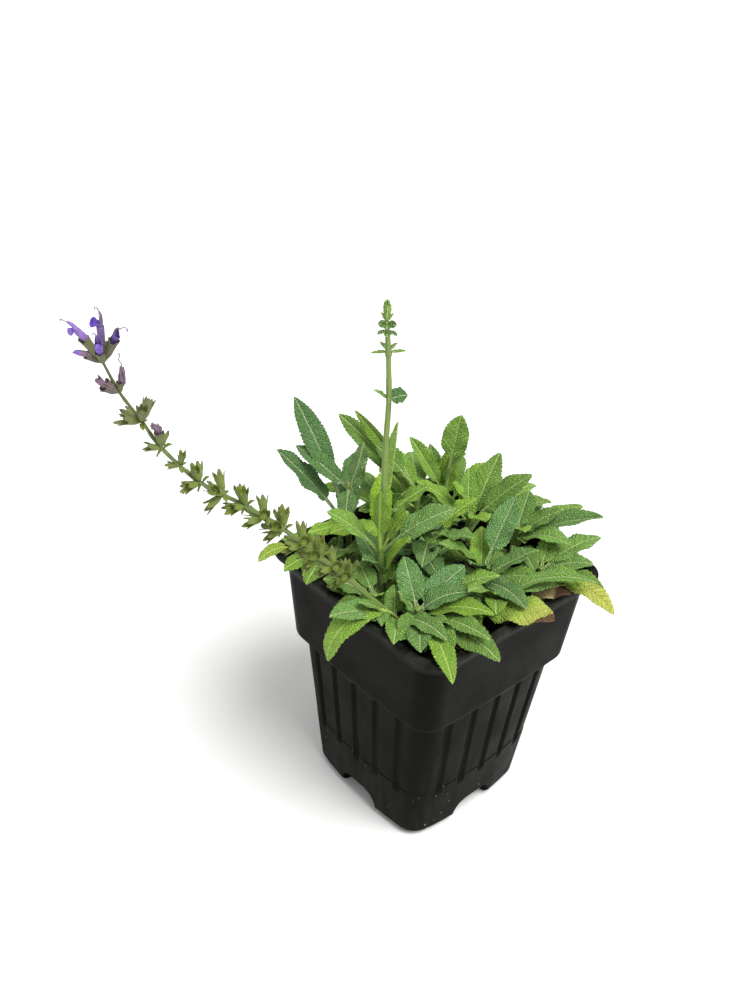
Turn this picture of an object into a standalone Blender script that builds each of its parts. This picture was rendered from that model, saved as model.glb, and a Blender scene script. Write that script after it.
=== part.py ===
"""Potted meadow sage: a bushy young salvia in its square nursery pot.

The pot stands on z = 0 with its middle at the origin and its sides along X and Y.
Lengths in the tables are millimetres; every mesh is written in metres.
"""
import math

import bmesh
import bpy
import numpy as np
from mathutils import Matrix, Vector
from mathutils.bvhtree import BVHTree

MM = 0.001

POT_HEIGHT = 135.5
LIP_HALF = 58.2
LIP_TALL = 3.2
NECK_TOP_HALF = 56.0
BAND_TOP_HALF = 53.4
BAND_TOP_Z = 125.0
BAND_FOOT_HALF = 50.4
BAND_FOOT_Z = 87.0
STEP_HALF = 46.2
STEP_Z = 82.8
FOOT_HALF = 39.2
FOOT_ROUND = 4.2
WALL = 2.0
FLOOR_Z = 15.0
CORNER_RADIUS = 11.5
FACE_BULGE = 2.2
GROOVES = 5
GROOVE_PITCH = 15.3
GROOVE_RADIUS = 2.5
GROOVE_DEPTH = 1.2
GROOVE_FOOT_Z = 30.0
ARCHWAY_HALF = 13.7
ARCHWAY_TALL = 12.8
ARCHWAY_DEEP = 15.5

SOIL_Z = 122.0
SOIL_GAP = 0.9
HOLE_DEPTH = 8.0
HOLE_GAP = 0.45

BLADE_THICK = 0.72
RIB_DROP = 0.55
BLADE_ROWS = {20: 3, 999: 4}
STALK_ROWS = 1
TEST_THICK = 1.5
CLOSED_BELOW = 5.0
FRONT = Vector((0.731, -0.682, 0.0))
GIVE_WAY = {"arching_stem": 40, "shoot_front_middle": 30, "shoot_right_front": 25,
            "shoot_far_edge": 60, "shoot_far_left": 60, "shoot_front_left": -10}


# Leaves of one shoot: foot and top of its short stem with its radius, then the leaves.
# A leaf is: height on the stem (0: placed by its steepness), tip (x, y, z), droop in
# degrees, width, stalk share, fold in degrees, roll in degrees, wave.
SHOOTS = {
    "shoot_left_tall": ((-44, -17), (-44, -19, 164), 1.5, [
        (142, (-77, -27, 198), 12, 12.5, 0.40, 12, 35, 0.5),
        (160, (-70, -31, 176), 14, 10.0, 0.14, 18, 30, 0.5),
        (136, (-72, -41, 176), 20, 12.0, 0.36, 16, 20, 1.2),
        (161, (-37, -17, 188), -12, 8.0, 0.10, 24, 70, 1.0),
        (160, (-36, -27, 150), 40, 10.0, 0.12, 14, 10, 0.5),
        (150, (-62, 2, 165), 40, 12.0, 0.25, 14, 0, 0.8),
        (138, (-66, -2, 146), 50, 12.0, 0.25, 14, 0, 0.8),
    ]),
    "shoot_left_inner": ((-30, -6), (-30, -8, 150), 1.7, [
        (0, (-37, 4, 192), -10, 12.5, 0.30, 34, 75, 0.8),
        (0, (-52, -39, 143), 44, 14.5, 0.22, 8, 0, 1.2),
        (0, (-14, -12, 169), 20, 12.5, 0.24, 14, 0, 0.9),
        (0, (-34, -38, 147), 40, 14.5, 0.22, 8, 0, 1.2),
        (0, (-20, 12, 162), 30, 12.0, 0.25, 12, 0, 0.8),
        (0, (-18, -33, 142), 34, 13.5, 0.20, 8, 0, 0.9),
    ]),
    "shoot_back_left": ((-33, 17), (-32, 17, 152), 1.7, [
        (0, (-79, 3, 179), 22, 12.0, 0.30, 12, 30, 0.6),
        (0, (-70, 6, 184), 14, 8.0, 0.24, 30, 70, 0.5),
        (0, (-50, 3, 174), 20, 12.0, 0.44, 16, 30, 0.6),
        (0, (-53, 18, 166), 30, 10.0, 0.20, 20, 0, 0.6),
        (0, (-68, 24, 147), 50, 13.5, 0.25, 12, 0, 0.8),
        (0, (-64, 42, 151), 45, 12.5, 0.25, 12, 0, 0.8),
        (0, (-44, -6, 150), 34, 12.5, 0.25, 12, 0, 0.8),
    ]),
    "shoot_back": ((-33, 36), (-33, 37, 146), 1.8, [
        (0, (-32, 43, 186), 6, 14.0, 0.46, 10, -35, 0.6),
        (0, (-52, 28, 170), 12, 10.0, 0.20, 30, 40, 0.5),
        (0, (-51, 42, 162), 14, 10.0, 0.14, 12, 0, 0.4),
        (0, (-40, 46, 163), 8, 11.0, 0.14, 14, 0, 0.4),
        (0, (-48, 64, 150), 45, 12.5, 0.25, 12, 0, 0.8),
        (0, (-28, 76, 146), 50, 13.5, 0.25, 12, 0, 0.8),
        (0, (-24, 48, 164), 20, 12.0, 0.20, 16, 0, 0.6),
    ]),
    "shoot_back_right": ((-12, 34), (-12, 35, 142), 1.8, [
        (0, (8, 54, 167), 22, 13.5, 0.30, 10, -25, 0.6),
        (0, (-20, 62, 164), 24, 13.5, 0.26, 12, 0, 0.7),
        (0, (-26, 46, 158), 18, 10.5, 0.20, 14, 0, 0.5),
        (0, (-18, 26, 160), 10, 12.0, 0.22, 20, 10, 0.5),
        (0, (-6, 77, 146), 50, 13.5, 0.25, 12, 0, 0.8),
        (0, (-34, 16, 155), 34, 12.5, 0.25, 12, 0, 0.8),
        (0, (6, 26, 150), 34, 12.5, 0.20, 12, 0, 0.8),
        (128, (-9, 12, 137), 30, 13.0, 0.20, 10, 0, 0.7),
    ]),
    "shoot_middle": ((-9, 5), (-9, 4, 146), 1.8, [
        (0, (16, -26, 151), 70, 14.5, 0.22, 8, 0, 0.9),
        (0, (8, -17, 163), 36, 14.0, 0.20, 10, 0, 1.0),
        (0, (-17, -16, 160), 30, 12.5, 0.25, 12, 0, 0.8),
        (0, (20, 4, 153), 44, 12.5, 0.25, 12, 0, 0.8),
        (0, (2, 22, 162), 30, 12.0, 0.25, 12, 0, 0.8),
        (0, (-10, -28, 143), 44, 14.0, 0.20, 8, 0, 0.9),
        (0, (8, -22, 143), 40, 13.5, 0.20, 8, 0, 0.9),
        (0, (8, -5, 147), 34, 11.5, 0.20, 12, 0, 0.7),
        (128, (12, -4, 137), 30, 13.0, 0.20, 10, 0, 0.7),
    ]),
    "shoot_centre": ((20, 10), (20, 11, 138), 1.8, [
        (0, (18, 31, 168), 4, 13.5, 0.30, 14, -15, 0.8),
        (0, (60, 2, 138), 50, 12.0, 0.16, 10, -10, 0.7),
        (0, (45, 25, 140), 30, 10.5, 0.20, 12, -10, 0.6),
        (0, (9, -9, 153), 24, 11.0, 0.20, 18, 0, 0.6),
        (0, (25, -5, 147), 36, 10.5, 0.16, 14, 0, 0.6),
        (0, (36, 30, 148), 20, 12.0, 0.20, 14, 0, 0.6),
        (0, (4, 26, 146), 30, 12.0, 0.20, 12, 0, 0.7),
        (0, (2, 2, 138), 36, 11.0, 0.20, 12, 0, 0.7),
    ]),
    "shoot_right": ((12, 42), (12, 43, 143), 1.8, [
        (0, (43, 68, 155), 26, 12.5, 0.20, 30, -15, 0.6),
        (0, (5, 58, 155), 16, 12.0, 0.16, 14, 0, 0.6),
        (0, (23, 60, 156), 20, 12.0, 0.18, 14, -10, 0.6),
        (0, (24, 78, 148), 44, 14.0, 0.24, 8, 0, 0.9),
        (0, (42, 50, 144), 24, 12.0, 0.20, 14, -10, 0.6),
        (0, (40, 29, 139), 44, 12.5, 0.20, 12, 0, 1.0),
        (0, (22, 37, 148), 20, 10.0, 0.12, 16, 0, 0.4),
        (0, (4, 79, 144), 50, 12.5, 0.24, 10, 0, 0.8),
        (128, (22, 16, 137), 30, 13.0, 0.20, 10, 0, 0.7),
    ]),
    "shoot_right_edge": ((35, 35), (35, 36, 135), 1.8, [
        (0, (53, 52, 140), 30, 12.0, 0.16, 14, -10, 0.6),
        (0, (67, 42, 138), 50, 12.5, 0.20, 12, -10, 0.8),
        (0, (44, 68, 144), 50, 12.5, 0.20, 12, 0, 0.8),
        (0, (28, 50, 143), 20, 10.0, 0.16, 16, 0, 0.4),
        (0, (65, 26, 141), 50, 12.0, 0.20, 12, -10, 0.7),
    ]),
    "shoot_right_front": ((36, 3), (36, 3, 133), 1.7, [
        (0, (61, 17, 141), 40, 10.5, 0.16, 12, -10, 0.7),
        (0, (52, -15, 142), 36, 10.5, 0.16, 14, 0, 0.6),
        (0, (72, 33, 139), 40, 8.5, 0.14, 20, -10, 0.6),
        (0, (55, -21, 137), 40, 11.0, 0.20, 12, 0, 0.7),
    ]),
    "shoot_front": ((25, -32), (24.5, -35.5, 138), 1.8, [
        (0, (26, -9, 150), 20, 13.5, 0.14, 10, -25, 0.8),
        (0, (8, -30, 154), 6, 12.5, 0.14, 14, 20, 0.6),
        (0, (70, -31, 136), 56, 15.5, 0.14, 8, -10, 1.2),
        (0, (69, -51, 135), 66, 10.5, 0.28, 12, 0, 0.7),
        (0, (54, -17, 140), 44, 13.5, 0.16, 12, 0, 0.8),
        (0, (63, -43, 139), 50, 12.0, 0.20, 12, 0, 0.7),
        (0, (16, -40, 144), 30, 10.5, 0.16, 12, 0, 0.7),
        (0, (38, -17, 146), 30, 12.0, 0.16, 12, -10, 0.7),
        (127, (41, -50, 134), 34, 12.5, 0.20, 10, 0, 0.7),
    ]),
    "shoot_front_middle": ((17, -13), (17, -13, 137), 1.8, [
        (0, (50, -22, 138), 40, 13.5, 0.18, 12, 0, 0.9),
        (0, (40, 0, 143), 34, 12.0, 0.18, 12, 0, 0.7),
        (0, (1, -6, 146), 30, 12.5, 0.18, 12, 0, 0.7),
        (0, (6, -28, 139), 36, 12.5, 0.16, 12, 0, 0.7),
        (0, (-2, -20, 141), 30, 12.5, 0.18, 12, 0, 0.7),
        (0, (39, -34, 139), 36, 11.0, 0.18, 12, 0, 0.7),
    ]),
    "shoot_front_left": ((5, -44), (5, -44, 138), 1.7, [
        (0, (4, -65, 134), 70, 11.0, 0.16, 12, 0, 0.6),
        (0, (-14, -58, 141), 50, 13.0, 0.16, 8, 0, 0.8),
        (0, (14, -52, 137), 24, 9.5, 0.18, 12, 0, 0.6),
        (0, (-14, -38, 142), 30, 10.5, 0.18, 12, 0, 0.6),
        (0, (-6, -63, 138), 50, 11.0, 0.20, 10, 0, 0.7),
    ]),
    "shoot_left_front": ((-32, -34), (-32, -35, 138), 1.8, [
        (0, (-36, -64, 122), 96, 13.5, 0.18, 8, 0, 0.9),
        (0, (-19, -64, 134), 60, 14.0, 0.18, 8, 0, 0.9),
        (0, (-54, -50, 141), 40, 14.0, 0.20, 8, 0, 0.9),
        (0, (-18, -50, 141), 40, 12.5, 0.20, 10, 0, 0.7),
        (0, (-42, -54, 143), 40, 13.5, 0.20, 8, 0, 0.9),
        (0, (-14, -26, 142), 30, 12.0, 0.20, 12, 0, 0.8),
        (126, (-16, -27, 134), 30, 12.5, 0.20, 10, 0, 0.7),
    ]),
    "shoot_far_edge": ((-10, 49), (-10, 49, 138), 1.6, [
        (0, (-16, 77, 146), 44, 12.0, 0.20, 12, 0, 0.7),
        (0, (12, 68, 148), 30, 12.0, 0.20, 12, 0, 0.6),
        (0, (-28, 60, 147), 30, 12.0, 0.20, 12, 0, 0.7),
    ]),
    "shoot_far_left": ((-46, 8), (-46, 8, 139), 1.6, [
        (0, (-76, 16, 142), 50, 12.5, 0.20, 12, 0, 0.8),
        (0, (-74, -12, 144), 44, 12.5, 0.20, 12, 0, 0.8),
        (0, (-58, 34, 144), 36, 12.0, 0.20, 12, 0, 0.7),
    ]),
}

# The upright flowering stem: centre line, then the leaves of its lower node and the
# small pairs further up, written as above.
UPRIGHT_PATH = [(-2, -32, 114.4), (-2, -32, 127), (-4, -33, 151), (-4, -33.5, 180),
                (-4, -34, 209), (-4, -34, 228), (-5, -35, 249), (-6, -36, 262)]
UPRIGHT_LEAVES = [
    (151, (-21, -51, 171), 26, 12.5, 0.36, 12, 10, 0.5),
    (151, (18, -10, 177), 30, 13.5, 0.30, 10, -25, 0.6),
    (152, (5, -27, 175), 20, 11.0, 0.40, 16, -30, 0.4),
    (152, (-1, -38, 186), -10, 9.5, 0.34, 14, 20, 0.4),
    (153, (-16, -24, 184), 14, 11.5, 0.30, 14, 30, 0.5),
    (137, (12, -31, 166), 26, 9.0, 0.18, 26, -40, 0.4),
    (136, (-4, -50, 145), 40, 10.5, 0.22, 14, 0, 0.7),
    (138, (-22, -32, 152), 40, 10.5, 0.22, 14, 20, 0.7),
    (126, (-7, -12, 135), 30, 13.0, 0.20, 10, 0, 0.7),
    (134, (10, -28, 144), 34, 11.0, 0.22, 12, 0, 0.7),
    (228, (-8, -39, 232), 14, 3.4, 0.10, 20, 0, 0.2),
    (228, (1.5, -28.5, 230), 24, 8.0, 0.06, 10, -30, 0.5),
    (249, (-10, -40, 248), -20, 2.8, 0.10, 20, 0, 0.1),
    (249, (0, -30, 250), -20, 2.8, 0.10, 20, 0, 0.1),
]

# The arching stem: centre line, the clusters of calyces along it and the leaves at
# its foot. A cluster is: centre, number of calyces, calyx length, first bearing.
ARCH_PATH = [(20, -37, 114.4), (20, -37, 126), (17, -42, 131), (11, -52, 143),
             (6, -61, 155), (0, -72, 167), (-8, -85, 182), (-16, -98, 194),
             (-26, -112, 205), (-35, -123, 220), (-39, -128, 231), (-43, -134, 243),
             (-46, -138, 255)]
CLUSTERS = [
    ((6, -61, 155), 5, 8.5, 20), ((3, -66, 161), 4, 9.0, 56), ((0, -72, 167), 5, 9.5, 20),
    ((-4, -77, 174), 4, 9.5, 56), ((-8, -85, 182), 5, 9.5, 20), ((-12, -92, 187), 4, 9.5, 56),
    ((-16, -98, 194), 4, 9.5, 20), ((-21, -105, 199), 4, 9.5, 60),
    ((-26, -112, 205), 4, 9.0, 20), ((-31, -118, 212), 2, 6.0, 100),
    ((-35, -123, 220), 2, 7.0, 225), ((-39, -128, 231), 4, 10.0, 45),
]
ARCH_LEAVES = [
    (129, (3, -71, 142), 50, 14.0, 0.16, 10, 10, 0.8),
    (129, (52, -44, 138), 34, 10.5, 0.24, 12, -10, 0.8),
    (132, (6, -59, 144), 20, 8.0, 0.14, 16, 10, 0.4),
    (129, (38, -62, 140), 50, 10.0, 0.24, 12, 0, 0.6),
    (128, (-1, -67, 112), 124, 15.0, 0.30, 10, 0, 0.6),
    (131, (14, -36, 144), 26, 10.0, 0.16, 14, 0, 0.5),
]
# Calyces that hold a flower: foot on the stem, mouth, flower tip, the side its hood is
# on, then whether the flower has withered.
UPWARD = (0.0, 0.0, 1.0)
FLOWERS = [
    ((-46, -138, 255), (-46.4, -137.5, 263), (-45.8, -138, 275.5), (0.68, 0.73, 0.0), False),
    ((-46, -138, 255), (-49, -143, 265.5), (-53, -147.5, 271), UPWARD, False),
    ((-46, -138, 255), (-49.5, -143, 258.5), (-52, -146.5, 258.8), UPWARD, False),
    ((-46, -138, 255), (-42.8, -140.6, 261.5), (-40, -142.5, 269), UPWARD, False),
    ((-46, -138, 255), (-41.9, -134.3, 265.5), (-40.2, -133, 269.4), UPWARD, False),
    ((-43, -134, 243), (-45.4, -139, 247), (-46.8, -142, 249.5), UPWARD, True),
    ((-43, -134, 243), (-42, -133, 248), (-41.8, -132.8, 255), UPWARD, True),
    ((-35, -123, 220), (-34, -124, 228), (-35, -126, 231.5), UPWARD, True),
]

# Old leaves that stand alone in the soil: where the upright part of the stalk ends,
# tip, droop, width, stalk share, fold, roll, wave.
OLD_LEAVES = {
    "old_leaf_yellow": ((45, 28, 130), (80, 34, 128), 66, 10.0, 0.34, 12, -15, 0.6),
    "old_leaf_olive": ((38, -7, 130), (70, 3, 141), 44, 19.0, 0.16, 6, -10, 1.2),
    "old_leaf_brown": ((44, 14, 128), (62, 24, 141), 30, 8.0, 0.20, 20, -20, 1.0),
    "old_leaf_pale": ((-45, -46, 131), (-50, -67, 124), 100, 6.0, 0.44, 16, 30, 0.4),
}

COLOURS = {
    "pot": (0.030, 0.030, 0.027),
    "soil": (0.060, 0.040, 0.028),
    "leaf": (0.105, 0.215, 0.060),
    "young": (0.190, 0.330, 0.035),
    "stem": (0.200, 0.300, 0.075),
    "flower": (0.140, 0.075, 0.600),
    "withered": (0.110, 0.060, 0.075),
    "yellow": (0.600, 0.560, 0.060),
    "brown": (0.280, 0.170, 0.070),
}


def clear_scene():
    for obj in list(bpy.data.objects):
        bpy.data.objects.remove(obj, do_unlink=True)


def material(name):
    mat = bpy.data.materials.get(name)
    if mat is None:
        mat = bpy.data.materials.new(name)
        mat.use_nodes = True
        shader = mat.node_tree.nodes["Principled BSDF"]
        shader.inputs["Base Color"].default_value = (*COLOURS[name], 1.0)
        shader.inputs["Roughness"].default_value = 0.45 if name == "pot" else 0.7
        shader.inputs["Metallic"].default_value = 0.0
    return mat


def make_object(name, points, faces, colour, smooth=False):
    """Mesh object from points in millimetres."""
    mesh = bpy.data.meshes.new(name)
    mesh.from_pydata([tuple(float(c) * MM for c in p) for p in points], [], faces)
    shape = bmesh.new()
    shape.from_mesh(mesh)
    if shape.calc_volume(signed=True) < 0:
        bmesh.ops.reverse_faces(shape, faces=shape.faces[:])
    shape.to_mesh(mesh)
    shape.free()
    for poly in mesh.polygons:
        poly.use_smooth = smooth
    mesh.materials.append(material(colour))
    obj = bpy.data.objects.new(name, mesh)
    bpy.context.scene.collection.objects.link(obj)
    return obj


def combine(name, base, others, operation):
    """Join or cut `base` with the other objects and drop the helpers."""
    group = bpy.data.collections.new(name + "_parts")
    for obj in others:
        group.objects.link(obj)
        obj.hide_render = True
        obj.display_type = "WIRE"
    modifier = base.modifiers.new(operation.lower(), "BOOLEAN")
    modifier.operation = operation
    modifier.operand_type = "COLLECTION"
    modifier.collection = group
    modifier.solver = "MANIFOLD"
    graph = bpy.context.evaluated_depsgraph_get()
    mesh = bpy.data.meshes.new_from_object(base.evaluated_get(graph))
    base.modifiers.clear()
    base.data = mesh
    base.name = name
    for obj in others:
        bpy.data.objects.remove(obj, do_unlink=True)
    bpy.data.collections.remove(group)
    return base


# Pot

def pot_ring(half, z, radius=CORNER_RADIUS, bulge=0.0, inset=0.0):
    """One level outline of the pot: a rounded square with slightly bowed sides."""
    half, radius = half - inset, max(radius - inset, 1.0)
    flat = half - radius
    ring = []
    for side in range(4):
        angle = math.radians(90 * side)
        ca, sa = math.cos(angle), math.sin(angle)
        for k in range(4):
            across = flat * (-1 + 2 * k / 4)
            out = half + bulge * (1 - (across / flat) ** 2)
            if k > 0:
                ring.append((out * ca - across * sa, out * sa + across * ca, z))
        for k in range(4):
            turn = math.radians(90 * k / 3)
            x = flat + radius * math.cos(turn)
            y = flat + radius * math.sin(turn)
            ring.append((x * ca - y * sa, x * sa + y * ca, z))
    return ring


def loft(rings, close_first=True, close_last=True):
    """Points and faces of a stack of rings with the same number of points."""
    count = len(rings[0])
    points = [p for ring in rings for p in ring]
    faces = []
    for r in range(len(rings) - 1):
        for k in range(count):
            a, b = r * count + k, r * count + (k + 1) % count
            faces.append((a, b, b + count, a + count))
    if close_first:
        faces.append(tuple(reversed(range(count))))
    if close_last:
        faces.append(tuple(range(len(points) - count, len(points))))
    return points, faces


def lower_half(z):
    return FOOT_HALF + (STEP_HALF - FOOT_HALF) * z / STEP_Z


def groove_cutter(side, index):
    """Round-ended rod lying half sunk in a lower side wall."""
    angle = math.radians(90 * side)
    turn = Matrix.Rotation(angle, 3, "Z")
    offset = index - (GROOVES - 1) / 2
    rings = []
    levels = [(GROOVE_FOOT_Z, 0.05), (GROOVE_FOOT_Z + 1.6, 0.8), (GROOVE_FOOT_Z + 4, 1.0),
              (STEP_Z - 5, 1.0), (STEP_Z - 2.6, 0.8), (STEP_Z - 1.2, 0.05)]
    for z, scale in levels:
        across = offset * GROOVE_PITCH * lower_half(z) / STEP_HALF
        flat = lower_half(z) - CORNER_RADIUS
        out = lower_half(z) + FACE_BULGE * max(0.0, 1 - (across / flat) ** 2)
        centre = Vector((out + GROOVE_RADIUS - GROOVE_DEPTH, across, z))
        ring = []
        for k in range(6):
            a = math.radians(60 * k + 30)
            shift = Vector((math.cos(a), math.sin(a), 0)) * GROOVE_RADIUS * scale
            push = Vector(((1 - scale) * 1.4, 0, 0))
            ring.append(tuple(turn @ (centre + shift + push)))
        rings.append(ring)
    points, faces = loft(rings)
    return make_object("groove", points, faces, "pot")


def archway_cutter(side):
    """Arched block that opens the foot in the middle of one side."""
    inner = FOOT_HALF - ARCHWAY_DEEP
    outer = FOOT_HALF + 8
    arch = [(-ARCHWAY_HALF, -1.0), (ARCHWAY_HALF, -1.0), (ARCHWAY_HALF, ARCHWAY_TALL - 5.0),
            (ARCHWAY_HALF - 1.5, ARCHWAY_TALL - 1.5), (ARCHWAY_HALF - 5, ARCHWAY_TALL),
            (5 - ARCHWAY_HALF, ARCHWAY_TALL), (1.5 - ARCHWAY_HALF, ARCHWAY_TALL - 1.5),
            (-ARCHWAY_HALF, ARCHWAY_TALL - 5.0)]
    turn = Matrix.Rotation(side * math.pi / 2, 3, "Z")
    rings = [[turn @ Vector((x, y, z)) for y, z in arch] for x in (inner, outer)]
    points, faces = loft(rings)
    return make_object("archway", points, faces, "pot")


def band_half(z):
    return BAND_FOOT_HALF + (BAND_TOP_HALF - BAND_FOOT_HALF) * (z - BAND_FOOT_Z) / (
        BAND_TOP_Z - BAND_FOOT_Z)


def build_pot():
    lip_foot = POT_HEIGHT - LIP_TALL
    base = FOOT_HALF - FOOT_ROUND
    rings = [
        pot_ring(base, 0.0, radius=CORNER_RADIUS - FOOT_ROUND, bulge=0.6),
        pot_ring(base + 0.6 * FOOT_ROUND, 0.3 * FOOT_ROUND, radius=CORNER_RADIUS - 1.5, bulge=1.6),
        pot_ring(lower_half(FOOT_ROUND), FOOT_ROUND, bulge=FACE_BULGE),
        pot_ring(lower_half(GROOVE_FOOT_Z), GROOVE_FOOT_Z, bulge=FACE_BULGE),
        pot_ring(STEP_HALF, STEP_Z, bulge=FACE_BULGE),
        pot_ring(BAND_FOOT_HALF, BAND_FOOT_Z, bulge=0.6),
        pot_ring(BAND_TOP_HALF, BAND_TOP_Z),
        pot_ring(NECK_TOP_HALF, lip_foot - 0.6),
        pot_ring(LIP_HALF, lip_foot),
        pot_ring(LIP_HALF, POT_HEIGHT - 0.8),
        pot_ring(LIP_HALF - 0.8, POT_HEIGHT),
        pot_ring(NECK_TOP_HALF, POT_HEIGHT, inset=WALL),
        pot_ring(NECK_TOP_HALF, lip_foot - 0.6, inset=WALL),
        pot_ring(BAND_TOP_HALF, BAND_TOP_Z, inset=WALL),
        pot_ring(BAND_FOOT_HALF, BAND_FOOT_Z - 1.0, inset=WALL, bulge=0.6),
        pot_ring(STEP_HALF, STEP_Z - 1.0, inset=WALL, bulge=FACE_BULGE),
        pot_ring(lower_half(FLOOR_Z), FLOOR_Z, inset=WALL, bulge=FACE_BULGE),
    ]
    points, faces = loft(rings)
    pot = make_object("pot", points, faces, "pot")
    cutters = [archway_cutter(side) for side in range(4)]
    cutters += [groove_cutter(side, k) for side in range(4) for k in range(GROOVES)]
    return combine("pot", pot, cutters, "DIFFERENCE")


# Soil

def build_soil(stems):
    """Potting soil with a slightly uneven top and a plain hole for every stem."""
    gap = WALL + SOIL_GAP
    rings = [
        pot_ring(lower_half(FLOOR_Z), FLOOR_Z + SOIL_GAP, inset=gap, bulge=FACE_BULGE),
        pot_ring(STEP_HALF, STEP_Z - 1.0, inset=gap, bulge=FACE_BULGE),
        pot_ring(BAND_FOOT_HALF, BAND_FOOT_Z - 1.0, inset=gap, bulge=0.6),
        pot_ring(band_half(SOIL_Z - 1.0), SOIL_Z - 1.0, inset=gap),
    ]
    points, faces = loft(rings, close_last=False)
    count = len(rings[0])
    wobble = np.random.default_rng(11)
    for share, lift in ((0.80, 0.8), (0.55, 1.0), (0.28, 0.4)):
        start = len(points)
        for k, (x, y, _) in enumerate(rings[-1]):
            z = SOIL_Z + lift + wobble.uniform(-0.7, 0.7)
            points.append((x * share, y * share, z))
            a, b = start - count + k, start - count + (k + 1) % count
            faces.append((a, b, b + count, a + count))
    points.append((0, 0, SOIL_Z + 0.6))
    last = len(points) - 1
    faces += [(last - count + k, last - count + (k + 1) % count, last) for k in range(count)]
    soil = make_object("soil", points, faces, "soil")
    cutters = []
    for x, y, radius in stems:
        hole = radius * 1.03 + HOLE_GAP
        rings = [circle((x, y, z), hole / math.cos(math.pi / 6), 6)
                 for z in (SOIL_Z - HOLE_DEPTH, SOIL_Z + 6)]
        cutters.append(make_object("hole", *loft(rings), "soil"))
    return combine("soil", soil, cutters, "DIFFERENCE")


def circle(centre, radius, sides):
    return [(centre[0] + radius * math.cos(2 * math.pi * (k + 0.5) / sides),
             centre[1] + radius * math.sin(2 * math.pi * (k + 0.5) / sides), centre[2])
            for k in range(sides)]


# Stems

def smooth_line(path, steps=3):
    """Catmull-Rom curve through the path points."""
    pts = [np.array(p, float) for p in path]
    ext = [2 * pts[0] - pts[1]] + pts + [2 * pts[-1] - pts[-2]]
    line = []
    for k in range(1, len(ext) - 2):
        a, b, c, d = ext[k - 1:k + 3]
        for t in np.arange(steps) / steps:
            line.append(0.5 * (2 * b + (c - a) * t + (2 * a - 5 * b + 4 * c - d) * t ** 2
                               + (3 * b - a - 3 * c + d) * t ** 3))
    line.append(pts[-1])
    return np.array(line)


def tube(line, radii, sides=6):
    """Closed tube along a line, carried without twist, with fan ends."""
    line = np.asarray(line, float)
    tangents = np.gradient(line, axis=0)
    tangents /= np.linalg.norm(tangents, axis=1)[:, None]
    across = np.cross(tangents[0], (0.0, 1.0, 0.0))
    if np.linalg.norm(across) < 0.2:
        across = np.cross(tangents[0], (1.0, 0.0, 0.0))
    points = []
    for centre, tangent, radius in zip(line, tangents, radii):
        across = across - tangent * (across @ tangent)
        across /= np.linalg.norm(across)
        other = np.cross(tangent, across)
        for k in range(sides):
            a = 2 * math.pi * (k + 0.5) / sides
            points.append(centre + radius * (math.cos(a) * across + math.sin(a) * other))
    faces = []
    for r in range(len(line) - 1):
        for k in range(sides):
            a, b = r * sides + k, r * sides + (k + 1) % sides
            faces += [(a, b, b + sides), (a, b + sides, a + sides)]
    first, last = len(points), len(points) + 1
    points += [line[0], line[-1] + tangents[-1] * radii[-1] * 0.4]
    end = first - sides
    for k in range(sides):
        faces += [((k + 1) % sides, k, first), (end + k, end + (k + 1) % sides, last)]
    return points, faces


# Leaves

def leaf_line(foot, tip, droop, steps=24):
    """Midrib from foot to tip: an arc in the upright plane that turns down by `droop`."""
    foot, tip = np.array(foot, float), np.array(tip, float)
    chord = tip - foot
    level = math.hypot(chord[0], chord[1])
    heading = math.atan2(chord[1], chord[0])
    pitch = math.atan2(chord[2], level)
    s = np.linspace(0, 1, steps + 1)
    angle = pitch + math.radians(droop) * (0.5 - s)
    step = np.stack([np.cos(angle) * math.cos(heading),
                     np.cos(angle) * math.sin(heading), np.sin(angle)], 1)
    line = np.concatenate([[np.zeros(3)], np.cumsum((step[1:] + step[:-1]) / 2, axis=0)])
    line *= np.linalg.norm(chord) / np.linalg.norm(line[-1])
    return foot + line, angle, heading


def leaf_surface(leaf, s, u):
    """Points and normals of the leaf's middle surface.

    s runs from foot (0) to tip (1), u across from one edge (-1) to the other (1).
    """
    foot, tip, droop, width, stalk, fold, roll, wave = leaf
    line, angle, heading = leaf_line(foot, tip, droop)
    at = np.linspace(0, 1, len(line))
    centre = np.stack([np.interp(s, at, line[:, k]) for k in range(3)], 1)
    a = np.interp(s, at, angle)
    side = np.array([math.sin(heading), -math.cos(heading), 0.0])
    up = np.stack([-np.sin(a) * math.cos(heading), -np.sin(a) * math.sin(heading),
                   np.cos(a)], 1)
    turn = np.radians(roll) * np.clip(s / max(stalk, 0.05), 0, 1)
    across = np.cos(turn)[:, None] * side + np.sin(turn)[:, None] * up
    normal = -np.sin(turn)[:, None] * side + np.cos(turn)[:, None] * up
    b = np.clip((s - stalk) / (1 - stalk), 0, 1)
    half = np.maximum(0.5 * width * b ** 0.38 * (1 - b) ** 0.55 / 0.533, 0.55)
    lift = math.radians(fold)
    ripple = wave * np.sin(2 * math.pi * 2.4 * b[:, None] + 1.3 * np.sign(u)[None, :])
    ripple = ripple * (half / (0.5 * width))[:, None] * np.abs(u)[None, :] ** 1.5
    out = half[:, None] * u[None, :] * math.cos(lift)
    rise = half[:, None] * np.abs(u)[None, :] * math.sin(lift) + ripple
    points = (centre[:, None, :] + out[..., None] * across[:, None, :]
              + rise[..., None] * normal[:, None, :])
    return points, normal


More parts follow.
